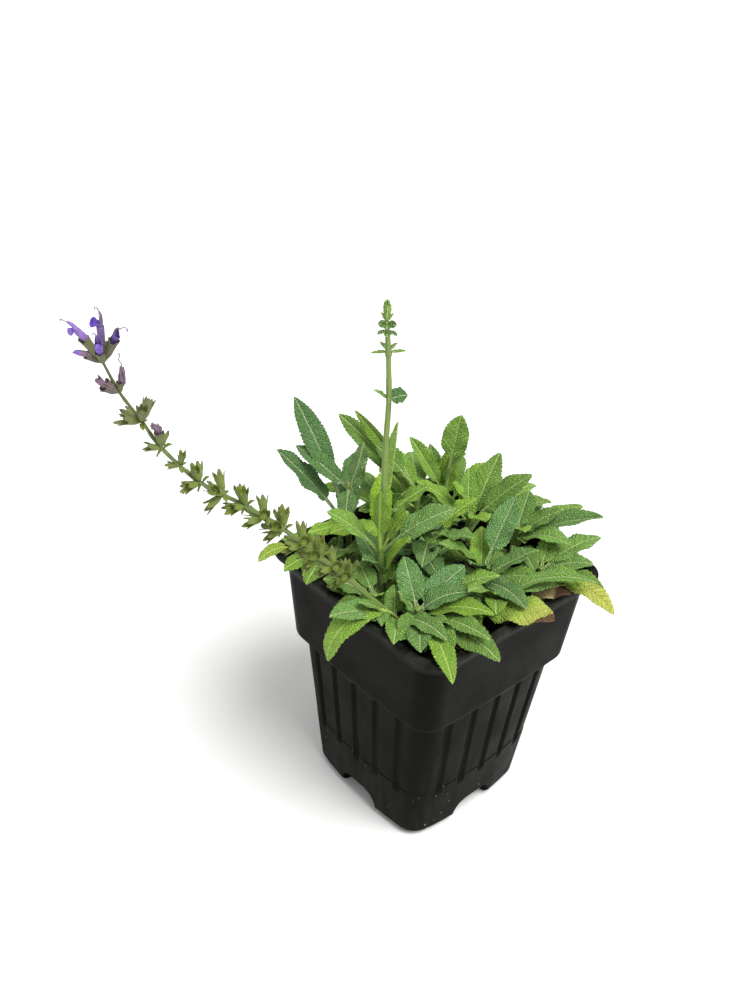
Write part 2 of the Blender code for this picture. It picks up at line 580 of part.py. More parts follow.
def leaf_mesh(leaf, thick=BLADE_THICK, teeth=0.07):
    """Closed leaf: stalk and toothed blade, both faces cut into the same triangles."""
    stalk = leaf[4]
    length = math.dist(leaf[0], leaf[1])
    rows = next(count for limit, count in BLADE_ROWS.items() if length < limit)
    s = np.concatenate([np.linspace(0, stalk, STALK_ROWS, endpoint=False),
                        stalk + (1 - stalk) * np.linspace(0, 1, rows) ** 0.85])
    blade = s >= stalk
    edge = 1 + teeth * np.where(np.arange(len(s)) % 2 == 0, 1, -1) * blade
    points, normal = leaf_surface(leaf, s, np.array([-1.0, 0.0, 1.0]))
    middle = points[:, 1:2, :]
    points = middle + (points - middle) * edge[:, None, None]
    half = np.linalg.norm(points[:, 0] - points[:, 1], axis=1)
    stem = 0.85 + (thick - BLADE_THICK) / 2
    grow = np.where(half < stem, stem / np.maximum(half, 1e-3), 1.0)
    grow[-1] = 1.0
    points = middle + (points - middle) * grow[:, None, None]
    depth = np.where(blade, RIB_DROP, 1.0) + (thick - BLADE_THICK) / 2
    depth[-1] = 0.1
    top = points + normal[:, None, :] * thick / 2
    low = points - normal[:, None, :] * thick / 2
    low[:, 1, :] -= normal * depth[:, None]
    verts = np.concatenate([top, low[:, ::-1, :]], axis=1).reshape(-1, 3)
    faces = []
    for r in range(len(s) - 1):
        for k in range(6):
            a, b = r * 6 + k, r * 6 + (k + 1) % 6
            if k in (1, 4):
                faces += [(a, a + 6, b), (b, a + 6, b + 6)]
            else:
                faces += [(a, b + 6, b), (a, a + 6, b + 6)]
    n = (len(s) - 1) * 6
    faces += [(0, 1, 5), (1, 4, 5), (1, 2, 4), (2, 3, 4)]
    faces += [(n, n + 5, n + 1), (n + 1, n + 5, n + 4), (n + 1, n + 4, n + 2),
              (n + 2, n + 4, n + 3)]
    return verts, faces


# Flowers

def frame_of(direction, above=UPWARD):
    """Unit direction with two directions across it, the second leaning to `above`."""
    d = np.array(direction, float)
    d /= np.linalg.norm(d)
    across = np.cross(d, above)
    if np.linalg.norm(across) < 0.15:
        across = np.cross(d, (0.731, -0.682, 0.0))
    across /= np.linalg.norm(across)
    return d, across, np.cross(across, d)


def calyx_mesh(foot, mouth, sides=5):
    """Slim bell with a point at every corner of its rim and a sunk mouth."""
    foot, mouth = np.array(foot, float), np.array(mouth, float)
    d, across, up = frame_of(mouth - foot)
    length = np.linalg.norm(mouth - foot)
    levels = [(0.12, 0.55), (0.50, 1.6), (1.0, 2.2), (0.55, 1.25)]
    points = [foot + d * 0.3]
    for along, radius in levels:
        for k in range(sides):
            a = 2 * math.pi * (k + 0.25) / sides
            points.append(foot + d * length * along
                          + radius * (math.cos(a) * across + math.sin(a) * up))
    faces = [(0, 1 + (k + 1) % sides, 1 + k) for k in range(sides)]
    for r in range(len(levels) - 1):
        for k in range(sides):
            a, b = 1 + r * sides + k, 1 + r * sides + (k + 1) % sides
            faces += [(a, b, b + sides), (a, b + sides, a + sides)]
    start = len(points) - sides
    faces += [(start, start + k, start + k + 1) for k in range(1, sides - 1)]
    return points, faces


def corolla_mesh(foot, mouth, tip, hood_side, withered):
    """Flower: a slim tube out of the calyx, a hooded upper lip and a hanging lower lip."""
    foot, mouth, tip = (np.array(p, float) for p in (foot, mouth, tip))
    d, across, up = frame_of(mouth - foot, hood_side)
    length = np.linalg.norm(mouth - foot)
    start = foot + d * (length * 0.55 + 0.6)
    reach = tip - mouth
    bend = mouth + reach * 0.45 + up * 0.6
    line = smooth_line([start, mouth, bend, mouth + reach * 0.8, tip], 2)
    widths = np.array([0.62, 0.66, 0.72, 1.1, 1.5, 1.5, 1.25, 0.9, 0.35])
    if withered:
        widths *= np.array([1, 1, 1, 1.05, 0.8, 0.95, 0.65, 0.8, 0.7])
    hood = tube(line, widths, 5)
    if withered or np.linalg.norm(reach) < CLOSED_BELOW:
        return [hood]
    root = mouth + reach * 0.38
    out = reach / np.linalg.norm(reach)
    drop = [root, root + out * 1.4 - up * 1.3, root + out * 2.6 - up * 2.6,
            root + out * 3.0 - up * 4.2]
    spread = [0.8, 1.4, 2.5, 1.6]
    points, faces = [], []
    for centre, half in zip(drop, spread):
        for side in (-1, 0, 1):
            points.append(centre + across * half * side + out * 0.3 * (1 - side * side))
        for side in (1, 0, -1):
            points.append(centre + across * half * side - out * (0.8 - 0.3 * (1 - side * side)))
    for r in range(len(drop) - 1):
        for k in range(6):
            a, b = r * 6 + k, r * 6 + (k + 1) % 6
            faces += [(a, b, b + 6), (a, b + 6, a + 6)]
    n = (len(drop) - 1) * 6
    faces += [(0, 5, 1), (1, 5, 4), (1, 4, 2), (2, 4, 3)]
    faces += [(n, n + 1, n + 5), (n + 1, n + 4, n + 5), (n + 1, n + 2, n + 4),
              (n + 2, n + 3, n + 4)]
    return [hood, (points, faces)]


def nearest_on(line, point):
    """Closest point of a line to a point, with the line's direction there."""
    best = None
    for a, b in zip(line[:-1], line[1:]):
        t = np.clip((point - a) @ (b - a) / ((b - a) @ (b - a)), 0, 1)
        near = a + t * (b - a)
        gap = np.linalg.norm(point - near)
        if best is None or gap < best[0]:
            best = (gap, near, b - a)
    return best[1], best[2]


def cluster_mouths(centre, tangent, count, length, bearing):
    """Mouth points of the calyces that stand around one joint of the stem."""
    d, across, up = frame_of(tangent)
    mouths = []
    for k in range(count):
        a = math.radians(bearing + 360 * k / count)
        lean = math.radians(52 + 9 * math.sin(2.3 * k + bearing))
        way = d * math.cos(lean) + (across * math.cos(a) + up * math.sin(a)) * math.sin(lean)
        mouths.append(np.array(centre, float) + way * length)
    return mouths


def flowering_pieces(line):
    """Calyx meshes of the arching stem."""
    pieces = []
    for centre, count, length, bearing in CLUSTERS:
        foot, tangent = nearest_on(line, np.array(centre, float))
        for mouth in cluster_mouths(foot, tangent, count, length, bearing):
            pieces.append(calyx_mesh(foot, mouth))
    for foot, mouth, *_ in FLOWERS:
        pieces.append(calyx_mesh(foot, mouth))
    return pieces


# Finding room for the leaves

def tree(points, faces):
    return BVHTree.FromPolygons([tuple(map(float, p)) for p in points], faces)


def moved(leaf, turn, lift, hump):
    """The leaf swung about its foot, raised, and bowed more, all in degrees."""
    foot = Vector(leaf[0])
    chord = Vector(leaf[1]) - foot
    chord.rotate(Matrix.Rotation(math.radians(turn), 3, "Z"))
    level = Vector((chord.x, chord.y, 0)).normalized()
    chord.rotate(Matrix.Rotation(math.radians(-lift), 3, Vector((-level.y, level.x, 0))))
    return (leaf[0], tuple(foot + chord), leaf[2] + hump) + leaf[3:]


def trials():
    """Small changes to try with their cost, the smallest first."""
    tried = [(abs(turn) + 1.3 * abs(lift) + 0.3 * hump, turn, lift, hump)
             for turn in range(-36, 37, 6) for lift in (-6, 0, 6, 12, 18, 26, 34)
             for hump in (0, 20, 40)]
    return sorted(tried)


def settle(groups, fixed):
    """Change each leaf as little as clears it of the rest.

    `groups` maps a plant part to its leaves; `fixed` holds (owner, tree) obstacles.
    Leaves of one part may touch near their common foot. Leaves at the front go first.
    """
    placed, chosen = [], {}
    order = [(name, k) for name in groups for k in range(len(groups[name]))]
    order.sort(key=lambda item: 15 * item[1] + GIVE_WAY.get(item[0], 0)
               - FRONT.dot(groups[item[0]][item[1]][1]))
    moves = trials()
    for name, k in order:
        best = None
        for cost, turn, lift, hump in moves:
            if best and cost >= best[0]:
                break
            leaf = moved(groups[name][k], turn, lift, hump)
            points, faces = leaf_mesh(leaf, TEST_THICK)
            whole = tree(points, faces)
            if any(owner != name and whole.overlap(other) for owner, other in fixed):
                continue
            if any(owner != name and whole.overlap(other) for owner, other, _ in placed):
                continue
            outer = tree(points, faces[12 * (STALK_ROWS + 1):])
            crossing = sum(len(outer.overlap(other)) for owner, _, other in placed
                           if owner == name)
            if best is None or cost + 4 * crossing < best[0]:
                best = (cost + 4 * crossing, leaf, whole, outer)
        chosen[name, k] = best[1]
        placed.append((name, best[2], best[3]))
    return {name: [chosen[name, k] for k in range(len(rows))]
            for name, rows in groups.items()}


# Assembly

def stem_line(foot, top):
    """Short stem from its hole in the soil to its top."""
    (x, y), (tx, ty, tz) = foot, top
    return np.array([(x, y, SOIL_Z - HOLE_DEPTH + 0.4), (x, y, SOIL_Z + 3),
                     ((x + tx) / 2, (y + ty) / 2, (SOIL_Z + 3 + tz) / 2), (tx, ty, tz)])


def old_post(top):
    """Upright lower part of a lone leaf's stalk."""
    x, y, z = top
    return [(x, y, SOIL_Z - HOLE_DEPTH + 0.4), (x, y, SOIL_Z), (x, y, z + 0.6)]


def point_at_height(line, z):
    height = np.clip(z, line[0, 2], line[-1, 2])
    k = int(np.argmin(np.abs(line[:, 2] - height)))
    lower = k if line[k, 2] <= height or k == 0 else k - 1
    upper = min(lower + 1, len(line) - 1)
    span = line[upper, 2] - line[lower, 2]
    t = 0.0 if span <= 0 else (height - line[lower, 2]) / span
    return tuple(line[lower] + t * (line[upper] - line[lower]))


def steepness(row):
    x, y, z = row[1]
    return (z - SOIL_Z) / (1 + math.hypot(x, y) * 0.2)


def rooted(line, radius, rows):
    """Leaves with their feet on the stem, a little off its axis toward the tip.

    Leaves without a height are shared out along the stem, the steepest at the top.
    """
    top = line[-1][2]
    free = sorted((row for row in rows if row[0] == 0), key=steepness, reverse=True)
    step = min(2.3, (top - SOIL_Z - 5.0) / max(len(free), 1))
    leaves = []
    for row in rows:
        z, tip, *rest = row
        foot = Vector(point_at_height(line, z or top - 0.8 - step * free.index(row)))
        out = Vector((tip[0] - foot.x, tip[1] - foot.y, 0)).normalized()
        leaves.append((tuple(foot + out * radius * 0.5), tip, *rest))
    return leaves


def build():
    clear_scene()
    lines, radii = {}, {}
    for name, (foot, top, radius, _) in SHOOTS.items():
        lines[name] = stem_line(foot, top)
        radii[name] = np.linspace(radius, radius * 0.8, len(lines[name]))
    lines["upright_stem"] = np.array(UPRIGHT_PATH, float)
    radii["upright_stem"] = np.linspace(1.75, 0.85, len(lines["upright_stem"]))
    lines["arching_stem"] = np.array(ARCH_PATH, float)
    radii["arching_stem"] = np.linspace(1.7, 0.75, len(lines["arching_stem"]))

    groups = {name: [row] for name, row in OLD_LEAVES.items()}
    groups |= {"upright_stem": rooted(lines["upright_stem"], 1.2, UPRIGHT_LEAVES),
               "arching_stem": rooted(lines["arching_stem"], 1.4, ARCH_LEAVES)}
    for name, (_, _, _, rows) in SHOOTS.items():
        groups[name] = rooted(lines[name], radii[name][-1], rows)

    pot = build_pot()
    fixed = [(name, tree(*tube(line, radii[name] + 0.4))) for name, line in lines.items()]
    heads = flowering_pieces(lines["arching_stem"])
    fixed += [("arching_stem", tree(*piece)) for piece in heads]
    for name, row in OLD_LEAVES.items():
        fixed.append((name, tree(*tube(old_post(row[0]), [1.4] * 3))))
    walls = [(v.co / MM) for v in pot.data.vertices]
    fixed.append(("pot", tree(walls, [tuple(p.vertices) for p in pot.data.polygons])))
    ground = SOIL_Z + 2.6
    fixed.append(("soil", tree([(-60, -60, ground), (60, -60, ground), (60, 60, ground),
                                (-60, 60, ground)], [(0, 1, 2, 3)])))
    leaves = settle(groups, fixed)

    for name, line in lines.items():
        base = make_object(name, *tube(line, radii[name]), "leaf", smooth=True)
        parts = [make_object("leaf", *leaf_mesh(leaf), "leaf", smooth=True)
                 for leaf in leaves[name]]
        if name == "arching_stem":
            parts += [make_object("calyx", *piece, "stem", smooth=True) for piece in heads]
        if name == "upright_stem":
            parts.append(young_spike(line))
        combine(name, base, parts, "UNION")
    for name, row in OLD_LEAVES.items():
        colour = "brown" if name == "old_leaf_brown" else "yellow"
        base = make_object(name, *tube(old_post(row[0]), [0.9, 0.95, 0.95]), colour,
                           smooth=True)
        blade = make_object("leaf", *leaf_mesh(leaves[name][0]), colour, smooth=True)
        combine(name, base, [blade], "UNION")
    for k, flower in enumerate(FLOWERS):
        colour = "withered" if flower[-1] else "flower"
        pieces = [make_object("petal", *piece, colour, smooth=True)
                  for piece in corolla_mesh(*flower)]
        name = f"flower_{k + 1}"
        if len(pieces) > 1:
            combine(name, pieces[0], pieces[1:], "UNION")
        pieces[0].name = name
    stems = [(line[0][0], line[0][1], radii[name][0]) for name, line in lines.items()]
    stems += [(row[0][0], row[0][1], 0.95) for row in OLD_LEAVES.values()]
    build_soil(stems)


def young_spike(line):
    """Budding tip of the upright stem: scale leaves in tight whorls, one above another."""
    foot = line[-2]
    top = foot + np.array([-1.5, -1.5, 22.0])
    levels = [(0.0, 1.0), (0.06, 2.3), (0.18, 1.1), (0.30, 1.2), (0.36, 3.3), (0.43, 1.5),
              (0.52, 3.5), (0.63, 1.7), (0.72, 2.6), (0.82, 1.6), (0.90, 1.4), (1.0, 0.4)]
    centres = [foot + (top - foot) * along for along, _ in levels]
    return make_object("spike", *tube(centres, [r for _, r in levels]), "stem", smooth=True)


build()
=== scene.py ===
"""Dresses the potted meadow sage, in the order in which it is put together.

Lengths are millimetres until a mesh is made. The pot stands on z = 0 with its middle at
the origin and its sides along X and Y.
"""

import math

import bpy
import numpy as np
from mathutils import Matrix, Vector
from mathutils.bvhtree import BVHTree


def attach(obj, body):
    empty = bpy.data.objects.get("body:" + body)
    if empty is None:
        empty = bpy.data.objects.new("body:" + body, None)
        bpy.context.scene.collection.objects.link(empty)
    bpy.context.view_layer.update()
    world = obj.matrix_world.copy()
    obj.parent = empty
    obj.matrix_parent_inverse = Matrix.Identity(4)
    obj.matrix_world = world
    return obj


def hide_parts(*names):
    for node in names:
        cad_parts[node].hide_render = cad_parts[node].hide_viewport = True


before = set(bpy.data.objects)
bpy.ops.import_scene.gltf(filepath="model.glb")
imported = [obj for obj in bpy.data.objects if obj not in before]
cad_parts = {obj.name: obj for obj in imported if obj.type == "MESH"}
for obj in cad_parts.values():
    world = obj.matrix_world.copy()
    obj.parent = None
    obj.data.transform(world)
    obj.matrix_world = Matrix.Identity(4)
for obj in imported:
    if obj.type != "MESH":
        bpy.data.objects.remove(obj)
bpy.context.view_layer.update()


# Pot. One thin shell of black recycled plastic, moulded in a single shot: a thin flat lip,
# a plain band that steps in to a body with five channels a side, and an arch in the foot
# of each side, so that it stands on its corners. The soil fills it; nothing holds it.

MM = 0.001
POT_HEIGHT, LIP_HALF, LIP_TALL, NECK_TOP_HALF = 135.5, 58.2, 3.2, 56.0
BAND_TOP_HALF, BAND_TOP_Z, BAND_FOOT_HALF, BAND_FOOT_Z = 53.4, 125.0, 50.4, 87.0
STEP_HALF, STEP_Z, FOOT_HALF, FOOT_ROUND = 46.2, 82.8, 39.2, 4.2
WALL, FLOOR_Z, CORNER_RADIUS, FACE_BULGE = 2.0, 15.0, 11.5, 2.2
GROOVE_PITCH, GROOVE_DEPTH, GROOVE_FOOT_Z, LEDGE_Z = 15.3, 1.25, 30.0, 34.0
ARCHWAY_HALF, ARCHWAY_TALL, ARCHWAY_DEEP, ARCHWAY_SHARE = 13.7, 12.8, 15.5, 0.48
LEDGE_PROUD, FOOT_TOP_Z, LIP_EDGE = 0.3, 24, 0.6


def eased(start, end, x):
    """0 up to start, 1 from end on, and a smooth cubic step between them."""
    t = np.clip((x - start) / (end - start), 0, 1)
    return t * t * (3 - 2 * t)


def volume(points, tris):
    """Signed volume of a closed skin: a sixth of the triple products of its triangles."""
    a, b, c = (points[tris[:, k]] - points[0] for k in range(3))
    return np.einsum("ij,ij->", a, np.cross(b, c)) / 6


def skin(points, **marks):
    """Closed skin from rings of points of shape (rows, ring, 3).

    Neighbouring rings are joined by four-sided faces, and each end is closed with a fan to
    the middle of its ring. Marks are values kept with the points: (rows, ring, n), or fewer
    that serve for all. The faces are turned round if the volume they close is negative.
    """
    rows, ring = points.shape[:2]
    here = np.arange(rows * ring).reshape(rows, ring)
    ahead = np.roll(here, -1, axis=1)
    quads = np.stack([here[:-1], ahead[:-1], ahead[1:], here[1:]], -1).reshape(-1, 4)
    hub = np.full(ring, rows * ring)
    tris = np.concatenate([np.stack([ahead[0], here[0], hub], -1),
                           np.stack([here[-1], ahead[-1], hub + 1], -1)])
    made = {}
    for name, values in {"points": points, **marks}.items():
        values = np.broadcast_to(values, (rows, ring, np.shape(values)[-1]))
        flat = values.reshape(rows * ring, -1)
        made[name] = np.concatenate([flat, values[:1].mean(1), values[-1:].mean(1)])
    if volume(made["points"], np.concatenate([quads[:, :3], quads[:, [0, 2, 3]], tris])) < 0:
        quads, tris = quads[:, ::-1], tris[:, ::-1]
    made["quads"], made["tris"] = quads, tris
    return made


def joined(skins):
    """Several skins as one, each with its own points."""
    start = np.cumsum([0] + [len(part["points"]) for part in skins[:-1]])
    whole = {}
    for name in skins[0]:
        shift = start if name in ("quads", "tris") else np.zeros(len(skins), int)
        whole[name] = np.concatenate([part[name] + n for part, n in zip(skins, shift)])
    return whole


def piece(name, shape, finish, slot, *nodes):
    """Object from a skin in millimetres; it rides on the one body for its CAD nodes."""
    mesh = bpy.data.meshes.new(name)
    corners = np.concatenate([shape["quads"].ravel(), shape["tris"].ravel()])
    sizes = np.repeat([4, 3], [len(shape["quads"]), len(shape["tris"])])
    mesh.vertices.add(len(shape["points"]))
    mesh.vertices.foreach_set("co", (shape["points"] * MM).ravel())
    mesh.loops.add(len(corners))
    mesh.loops.foreach_set("vertex_index", corners)
    mesh.polygons.add(len(sizes))
    mesh.polygons.foreach_set("loop_start", np.cumsum(sizes) - sizes)
    mesh.polygons.foreach_set("use_smooth", np.ones(len(sizes), bool))
    mesh.update(calc_edges=True)
    for mark in ("tint", "form"):
        if mark in shape:
            kept = mesh.attributes.new(mark, "FLOAT_COLOR", "POINT")
            kept.data.foreach_set("color", shape[mark].ravel())
    if "blade" in shape:
        mesh.uv_layers.new(name="blade").uv.foreach_set("vector", shape["blade"][corners].ravel())
    mesh.materials.append(finish)
    made = bpy.data.objects.new(name, mesh)
    bpy.context.scene.collection.objects.link(made)
    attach(made, "root")
    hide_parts(*nodes)


def read_off(at, known, rows):
    """Rows read off at places between the known ones, column by column."""
    return np.stack([np.interp(at, known, column) for column in rows.T], 1)


def wall_rows(keys, step, ease=0.8, cuts=4):
    """Profile rows (half width, height, corner radius, bulge) through the key rows.

    At a key the profile leaves its straight run `ease` before it and rounds the corner on a
    parabola; longer runs are cut into lengths of about `step`.
    """
    keys = np.array(keys, float)
    t = np.linspace(0, 1, cuts)[:, None]
    rows = [keys[:1]]
    for before, here, after in zip(keys[:-2], keys[1:-1], keys[2:]):
        start, end = (here + (side - here) * min(ease / np.linalg.norm((side - here)[:2]), 0.45)
                      for side in (before, after))
        rows.append((1 - t) ** 2 * start + 2 * t * (1 - t) * here + t ** 2 * end)
    rows = np.concatenate(rows + [keys[-1:]])
    runs = np.ceil(np.linalg.norm(np.diff(rows[:, :2], axis=0), axis=1) / step).astype(int)
    at = np.concatenate([k + np.arange(n) / n for k, n in enumerate(runs)] + [[len(runs)]])
    return read_off(at, np.arange(len(rows)), rows)


def lower_half(z):
    """Half width of the lower body at a height: an even taper from the step to the foot."""
    return FOOT_HALF + (STEP_HALF - FOOT_HALF) * z / STEP_Z


# Half width and bulge of the rounded foot against height.
FOOT_CURVES = [([0, 0.3 * FOOT_ROUND, FOOT_ROUND, FOOT_TOP_Z],
                [FOOT_HALF - FOOT_ROUND, FOOT_HALF - 0.4 * FOOT_ROUND, lower_half(FOOT_ROUND),
                 lower_half(FOOT_TOP_Z)]),
               ([0, 0.3 * FOOT_ROUND, FOOT_ROUND, FOOT_TOP_Z], [0.6, 1.6, FACE_BULGE, FACE_BULGE])]


def channel_depth(z, y):
    """Depth of the five channels of a side: flat across with eased edges, faded at both ends."""
    pitch = GROOVE_PITCH * lower_half(z) / STEP_HALF
    off = np.abs(y - pitch * np.clip(np.round(y / pitch), -2, 2))
    ends = eased(GROOVE_FOOT_Z, GROOVE_FOOT_Z + 2.6, z) * eased(STEP_Z + 0.3, STEP_Z - 1.0, z)
    return GROOVE_DEPTH * eased(2.3, 1.3, off) * ends


def pot_wall(rows, outside):
    """Points of the pot's wall, a column for each share across a side or angle of a corner.

    On a side the wall stands at half width + bulge * (1 - share squared), and round a corner
    it follows a circle. Outside, the channels are sunk into it and it stands a little proud
    below the ledge. Under the arch height ARCHWAY_TALL * sqrt(1 - (y / ARCHWAY_HALF)^4) it is
    set back to make the arch, and the wall over the arch is drawn down to it.
    """
    jambs = ARCHWAY_SHARE * np.array([0.97, 0.985, 0.995])
    share = np.sort(np.concatenate([np.linspace(-0.98, 0.98, 99), jambs, -jambs]))
    flat_side = np.arange(len(share) + 11) < len(share)
    angle = np.concatenate([np.zeros(len(share)), np.linspace(0, math.pi / 2, 11)])
    share = np.concatenate([share, np.ones(11)])
    half, z, radius, bulge = (rows[:, k:k + 1] for k in range(4))
    flat = half - radius
    x = np.where(flat_side, half + bulge * (1 - share ** 2), flat + radius * np.cos(angle))
    y = np.where(flat_side, flat * share, flat + radius * np.sin(angle))
    z = np.broadcast_to(z, x.shape)
    if outside:
        x = x - flat_side * channel_depth(z, y)
        x = x + LEDGE_PROUD * eased(LEDGE_Z + 0.3, LEDGE_Z - 0.3, z)
        way = share / ARCHWAY_SHARE
        arch = ARCHWAY_TALL * np.sqrt(np.clip(1 - way ** 4, 0, 1))
        low, under = flat_side & (np.abs(way) < 0.999) & (z < FOOT_TOP_Z), z < ARCHWAY_TALL
        over = arch + (z - ARCHWAY_TALL) * (FOOT_TOP_Z - arch) / (FOOT_TOP_Z - ARCHWAY_TALL)
        z = np.where(low, np.where(under, z * arch / ARCHWAY_TALL, over), z)
        face = [np.interp(z, *foot_curve) for foot_curve in FOOT_CURVES]
        face = face[0] + face[1] * (1 - share ** 2) + LEDGE_PROUD
        x = np.where(low, np.where(under, FOOT_HALF - ARCHWAY_DEEP, face), x)
        y = np.where(low, ARCHWAY_HALF * way, y)
    sides = [(x, y), (-y, x), (-x, -y), (y, -x)]
    return np.concatenate([np.stack([a, b, z], -1) for a, b in sides], axis=1)


def pot_skin():
    """The whole shell: up the outside from the foot, over the lip and down to the floor."""
    lip_foot, base_half = POT_HEIGHT - LIP_TALL, FOOT_HALF - FOOT_ROUND
    corner, bow, arch = CORNER_RADIUS, FACE_BULGE, ARCHWAY_TALL
    foot = [(1.0, 0, 0.8, 0), (12, 0, 5, 0.5)]
    base = [(base_half, 0, corner - FOOT_ROUND, 0.6),
            (base_half + 0.6 * FOOT_ROUND, 0.3 * FOOT_ROUND, corner - 1.5, 1.6),
            (lower_half(FOOT_ROUND), FOOT_ROUND, corner, bow),
            (lower_half(arch - 0.02), arch - 0.02, corner, bow)]
    body = [(lower_half(arch + 0.02), arch + 0.02, corner, bow),
            (lower_half(LEDGE_Z - 0.4), LEDGE_Z - 0.4, corner, bow),
            (lower_half(LEDGE_Z + 0.4), LEDGE_Z + 0.4, corner, bow), (STEP_HALF, STEP_Z, corner, bow),
            (BAND_FOOT_HALF, BAND_FOOT_Z, corner, 0.6), (BAND_TOP_HALF, BAND_TOP_Z, corner, 0),
            (NECK_TOP_HALF, lip_foot - LIP_EDGE, corner, 0), (LIP_HALF, lip_foot, corner, 0),
            (LIP_HALF, POT_HEIGHT, corner, 0),
            (NECK_TOP_HALF - WALL + LIP_EDGE, POT_HEIGHT, corner - WALL, 0),
            (NECK_TOP_HALF - WALL, POT_HEIGHT - 1.2, corner - WALL, 0)]
    inside = [(NECK_TOP_HALF - WALL, lip_foot - LIP_EDGE, corner - WALL, 0),
              (BAND_TOP_HALF - WALL, BAND_TOP_Z, corner - WALL, 0),
              (BAND_FOOT_HALF - WALL, BAND_FOOT_Z - 1, corner - WALL, 0.6),
              (STEP_HALF - WALL, STEP_Z - 1, corner - WALL, bow),
              (lower_half(FLOOR_Z) - WALL, FLOOR_Z, corner - WALL, bow), (2, FLOOR_Z, 1.5, 0)]
    return skin(np.concatenate([
        pot_wall(np.array(foot, float), False), pot_wall(wall_rows(base, 1.2), True),
        pot_wall(wall_rows(body, 1.25, 1.0, 6), True), pot_wall(wall_rows(inside, 6.0), False)]))


def finish(name, roughness, **constants):
    """New material: its node tree and its Principled shader, with its constants set."""
    made = bpy.data.materials.new(name)
    made.use_nodes = True
    shader = made.node_tree.nodes["Principled BSDF"]
    for socket, value in {"Roughness": roughness, **constants}.items():
        shader.inputs[socket.replace("_", " ")].default_value = value
    return made, made.node_tree, shader


def add(tree, kind, *inputs, **settings):
    """New shader node with its settings; each input is (socket, value or other output)."""
    made = tree.nodes.new("ShaderNode" + kind)
    for key, value in settings.items():
        setattr(made, key, value)
    for socket, value in inputs:
        if isinstance(value, bpy.types.NodeSocket):
            tree.links.new(value, made.inputs[socket])
        else:
            made.inputs[socket].default_value = value
    return made


def math_of(tree, operation, first, second=0.0):
    """Output of a math node."""
    return add(tree, "Math", (0, first), (1, second), operation=operation).outputs[0]


def times(tree, first, second):
    """Product of two values."""
    return math_of(tree, "MULTIPLY", first, second)


def plus(tree, first, second):
    """Sum of two values."""
    return math_of(tree, "ADD", first, second)


def step_of(tree, value, start, end, low=0.0, high=1.0):
    """Value eased from low at start to high at end."""
    return add(tree, "MapRange", ("Value", value), ("From Min", start), ("From Max", end),
               ("To Min", low), ("To Max", high), interpolation_type="SMOOTHSTEP").outputs[0]


def colour_between(tree, share, low, high, blend="MIX"):
    """Mix of two colours, each a plain colour or an output."""
    low, high = ((*c, 1.0) if isinstance(c, tuple) else c for c in (low, high))
    return add(tree, "Mix", (0, share), (6, low), (7, high), data_type="RGBA",
               blend_type=blend).outputs[2]


def object_place(tree):
    """Place of a point on its object, in metres."""
    return add(tree, "TexCoord").outputs["Object"]


def noise_of(tree, place, scale, detail=3.0, rough=0.55):
    """Cloudy noise with that many clouds to a metre."""
    return add(tree, "TexNoise", ("Vector", place), ("Scale", scale), ("Detail", detail),
               ("Roughness", rough)).outputs[0]


def drawn_out(tree, place, share):
    """Place whose height counts for less, so that noise on it runs in upright streaks."""
    return add(tree, "Mapping", ("Vector", place), ("Scale", (1.0, 1.0, share))).outputs[0]


def surface(tree, shader, colour, height=None, strength=1.0, distance=0.0):
    """Gives a shader its colour, and the fine relief of a height if there is one."""
    tree.links.new(colour, shader.inputs["Base Color"])
    if height is not None:
        normal = add(tree, "Bump", ("Height", height), ("Strength", strength),
                     ("Distance", distance)).outputs[0]
        tree.links.new(normal, shader.inputs["Normal"])


def pot_plastic():
    """Charcoal plastic: cloudy grey, dusty toward the foot, with a few pale specks and a painted highlight
    in streaks along the lip edge.
    """
    made, tree, shader = finish("pot_plastic", 0.45, Specular_IOR_Level=0.032)
    place = object_place(tree)
    height = add(tree, "SeparateXYZ", (0, place)).outputs[2]
    streaks = drawn_out(tree, place, 0.25)
    cloud = noise_of(tree, place, 22.0, 4.0)
    colour = colour_between(tree, cloud, (0.0018, 0.002, 0.0012), (0.007, 0.0075, 0.0046))
    dusty = step_of(tree, noise_of(tree, streaks, 130.0, 6.0, 0.7), 0.48, 0.72)
    dust = times(tree, times(tree, step_of(tree, height, 0.062, 0.002), dusty), 0.32)
    colour = colour_between(tree, dust, colour, (0.05, 0.048, 0.036))
    spots = add(tree, "TexVoronoi", ("Vector", place), ("Scale", 260.0)).outputs[0]
    where = times(tree, step_of(tree, noise_of(tree, place, 45.0), 0.5, 0.62),
                  step_of(tree, height, 0.05, 0.012))
    chalk = times(tree, step_of(tree, spots, 0.15, 0.06), where)
    colour = colour_between(tree, chalk, colour, (0.25, 0.245, 0.22))
    # Painted highlight: the edge of the lip is made paler grey in streaks, standing in for the light it
    # catches.
    painted_lip_highlight = times(tree, step_of(tree, height, 0.1318, 0.1326),
                    step_of(tree, noise_of(tree, streaks, 90.0, 5.0), 0.35, 0.7))
    colour = colour_between(tree, painted_lip_highlight, colour, (0.03, 0.032, 0.025))
    worn = step_of(tree, noise_of(tree, place, 45.0, 5.0), 0.3, 0.75, 0.36, 0.56)
    tree.links.new(worn, shader.inputs["Roughness"])
    grain = plus(tree, noise_of(tree, place, 900.0, 2.0), times(tree, noise_of(tree, place, 70.0), 1.5))
    surface(tree, shader, colour, grain, 0.25, 0.0002)
    return made


piece("pot_shell", pot_skin(), pot_plastic(), "pot", "pot")


# Soil. Peat compost pressed into the pot to a little under its lip, with loose crumbs,
# bark shreds and a few white perlite grains lying on top. It only fills the pot.

SOIL_Z, SOIL_HALF, SOIL_SQUARE = 122.0, 50.2, 9


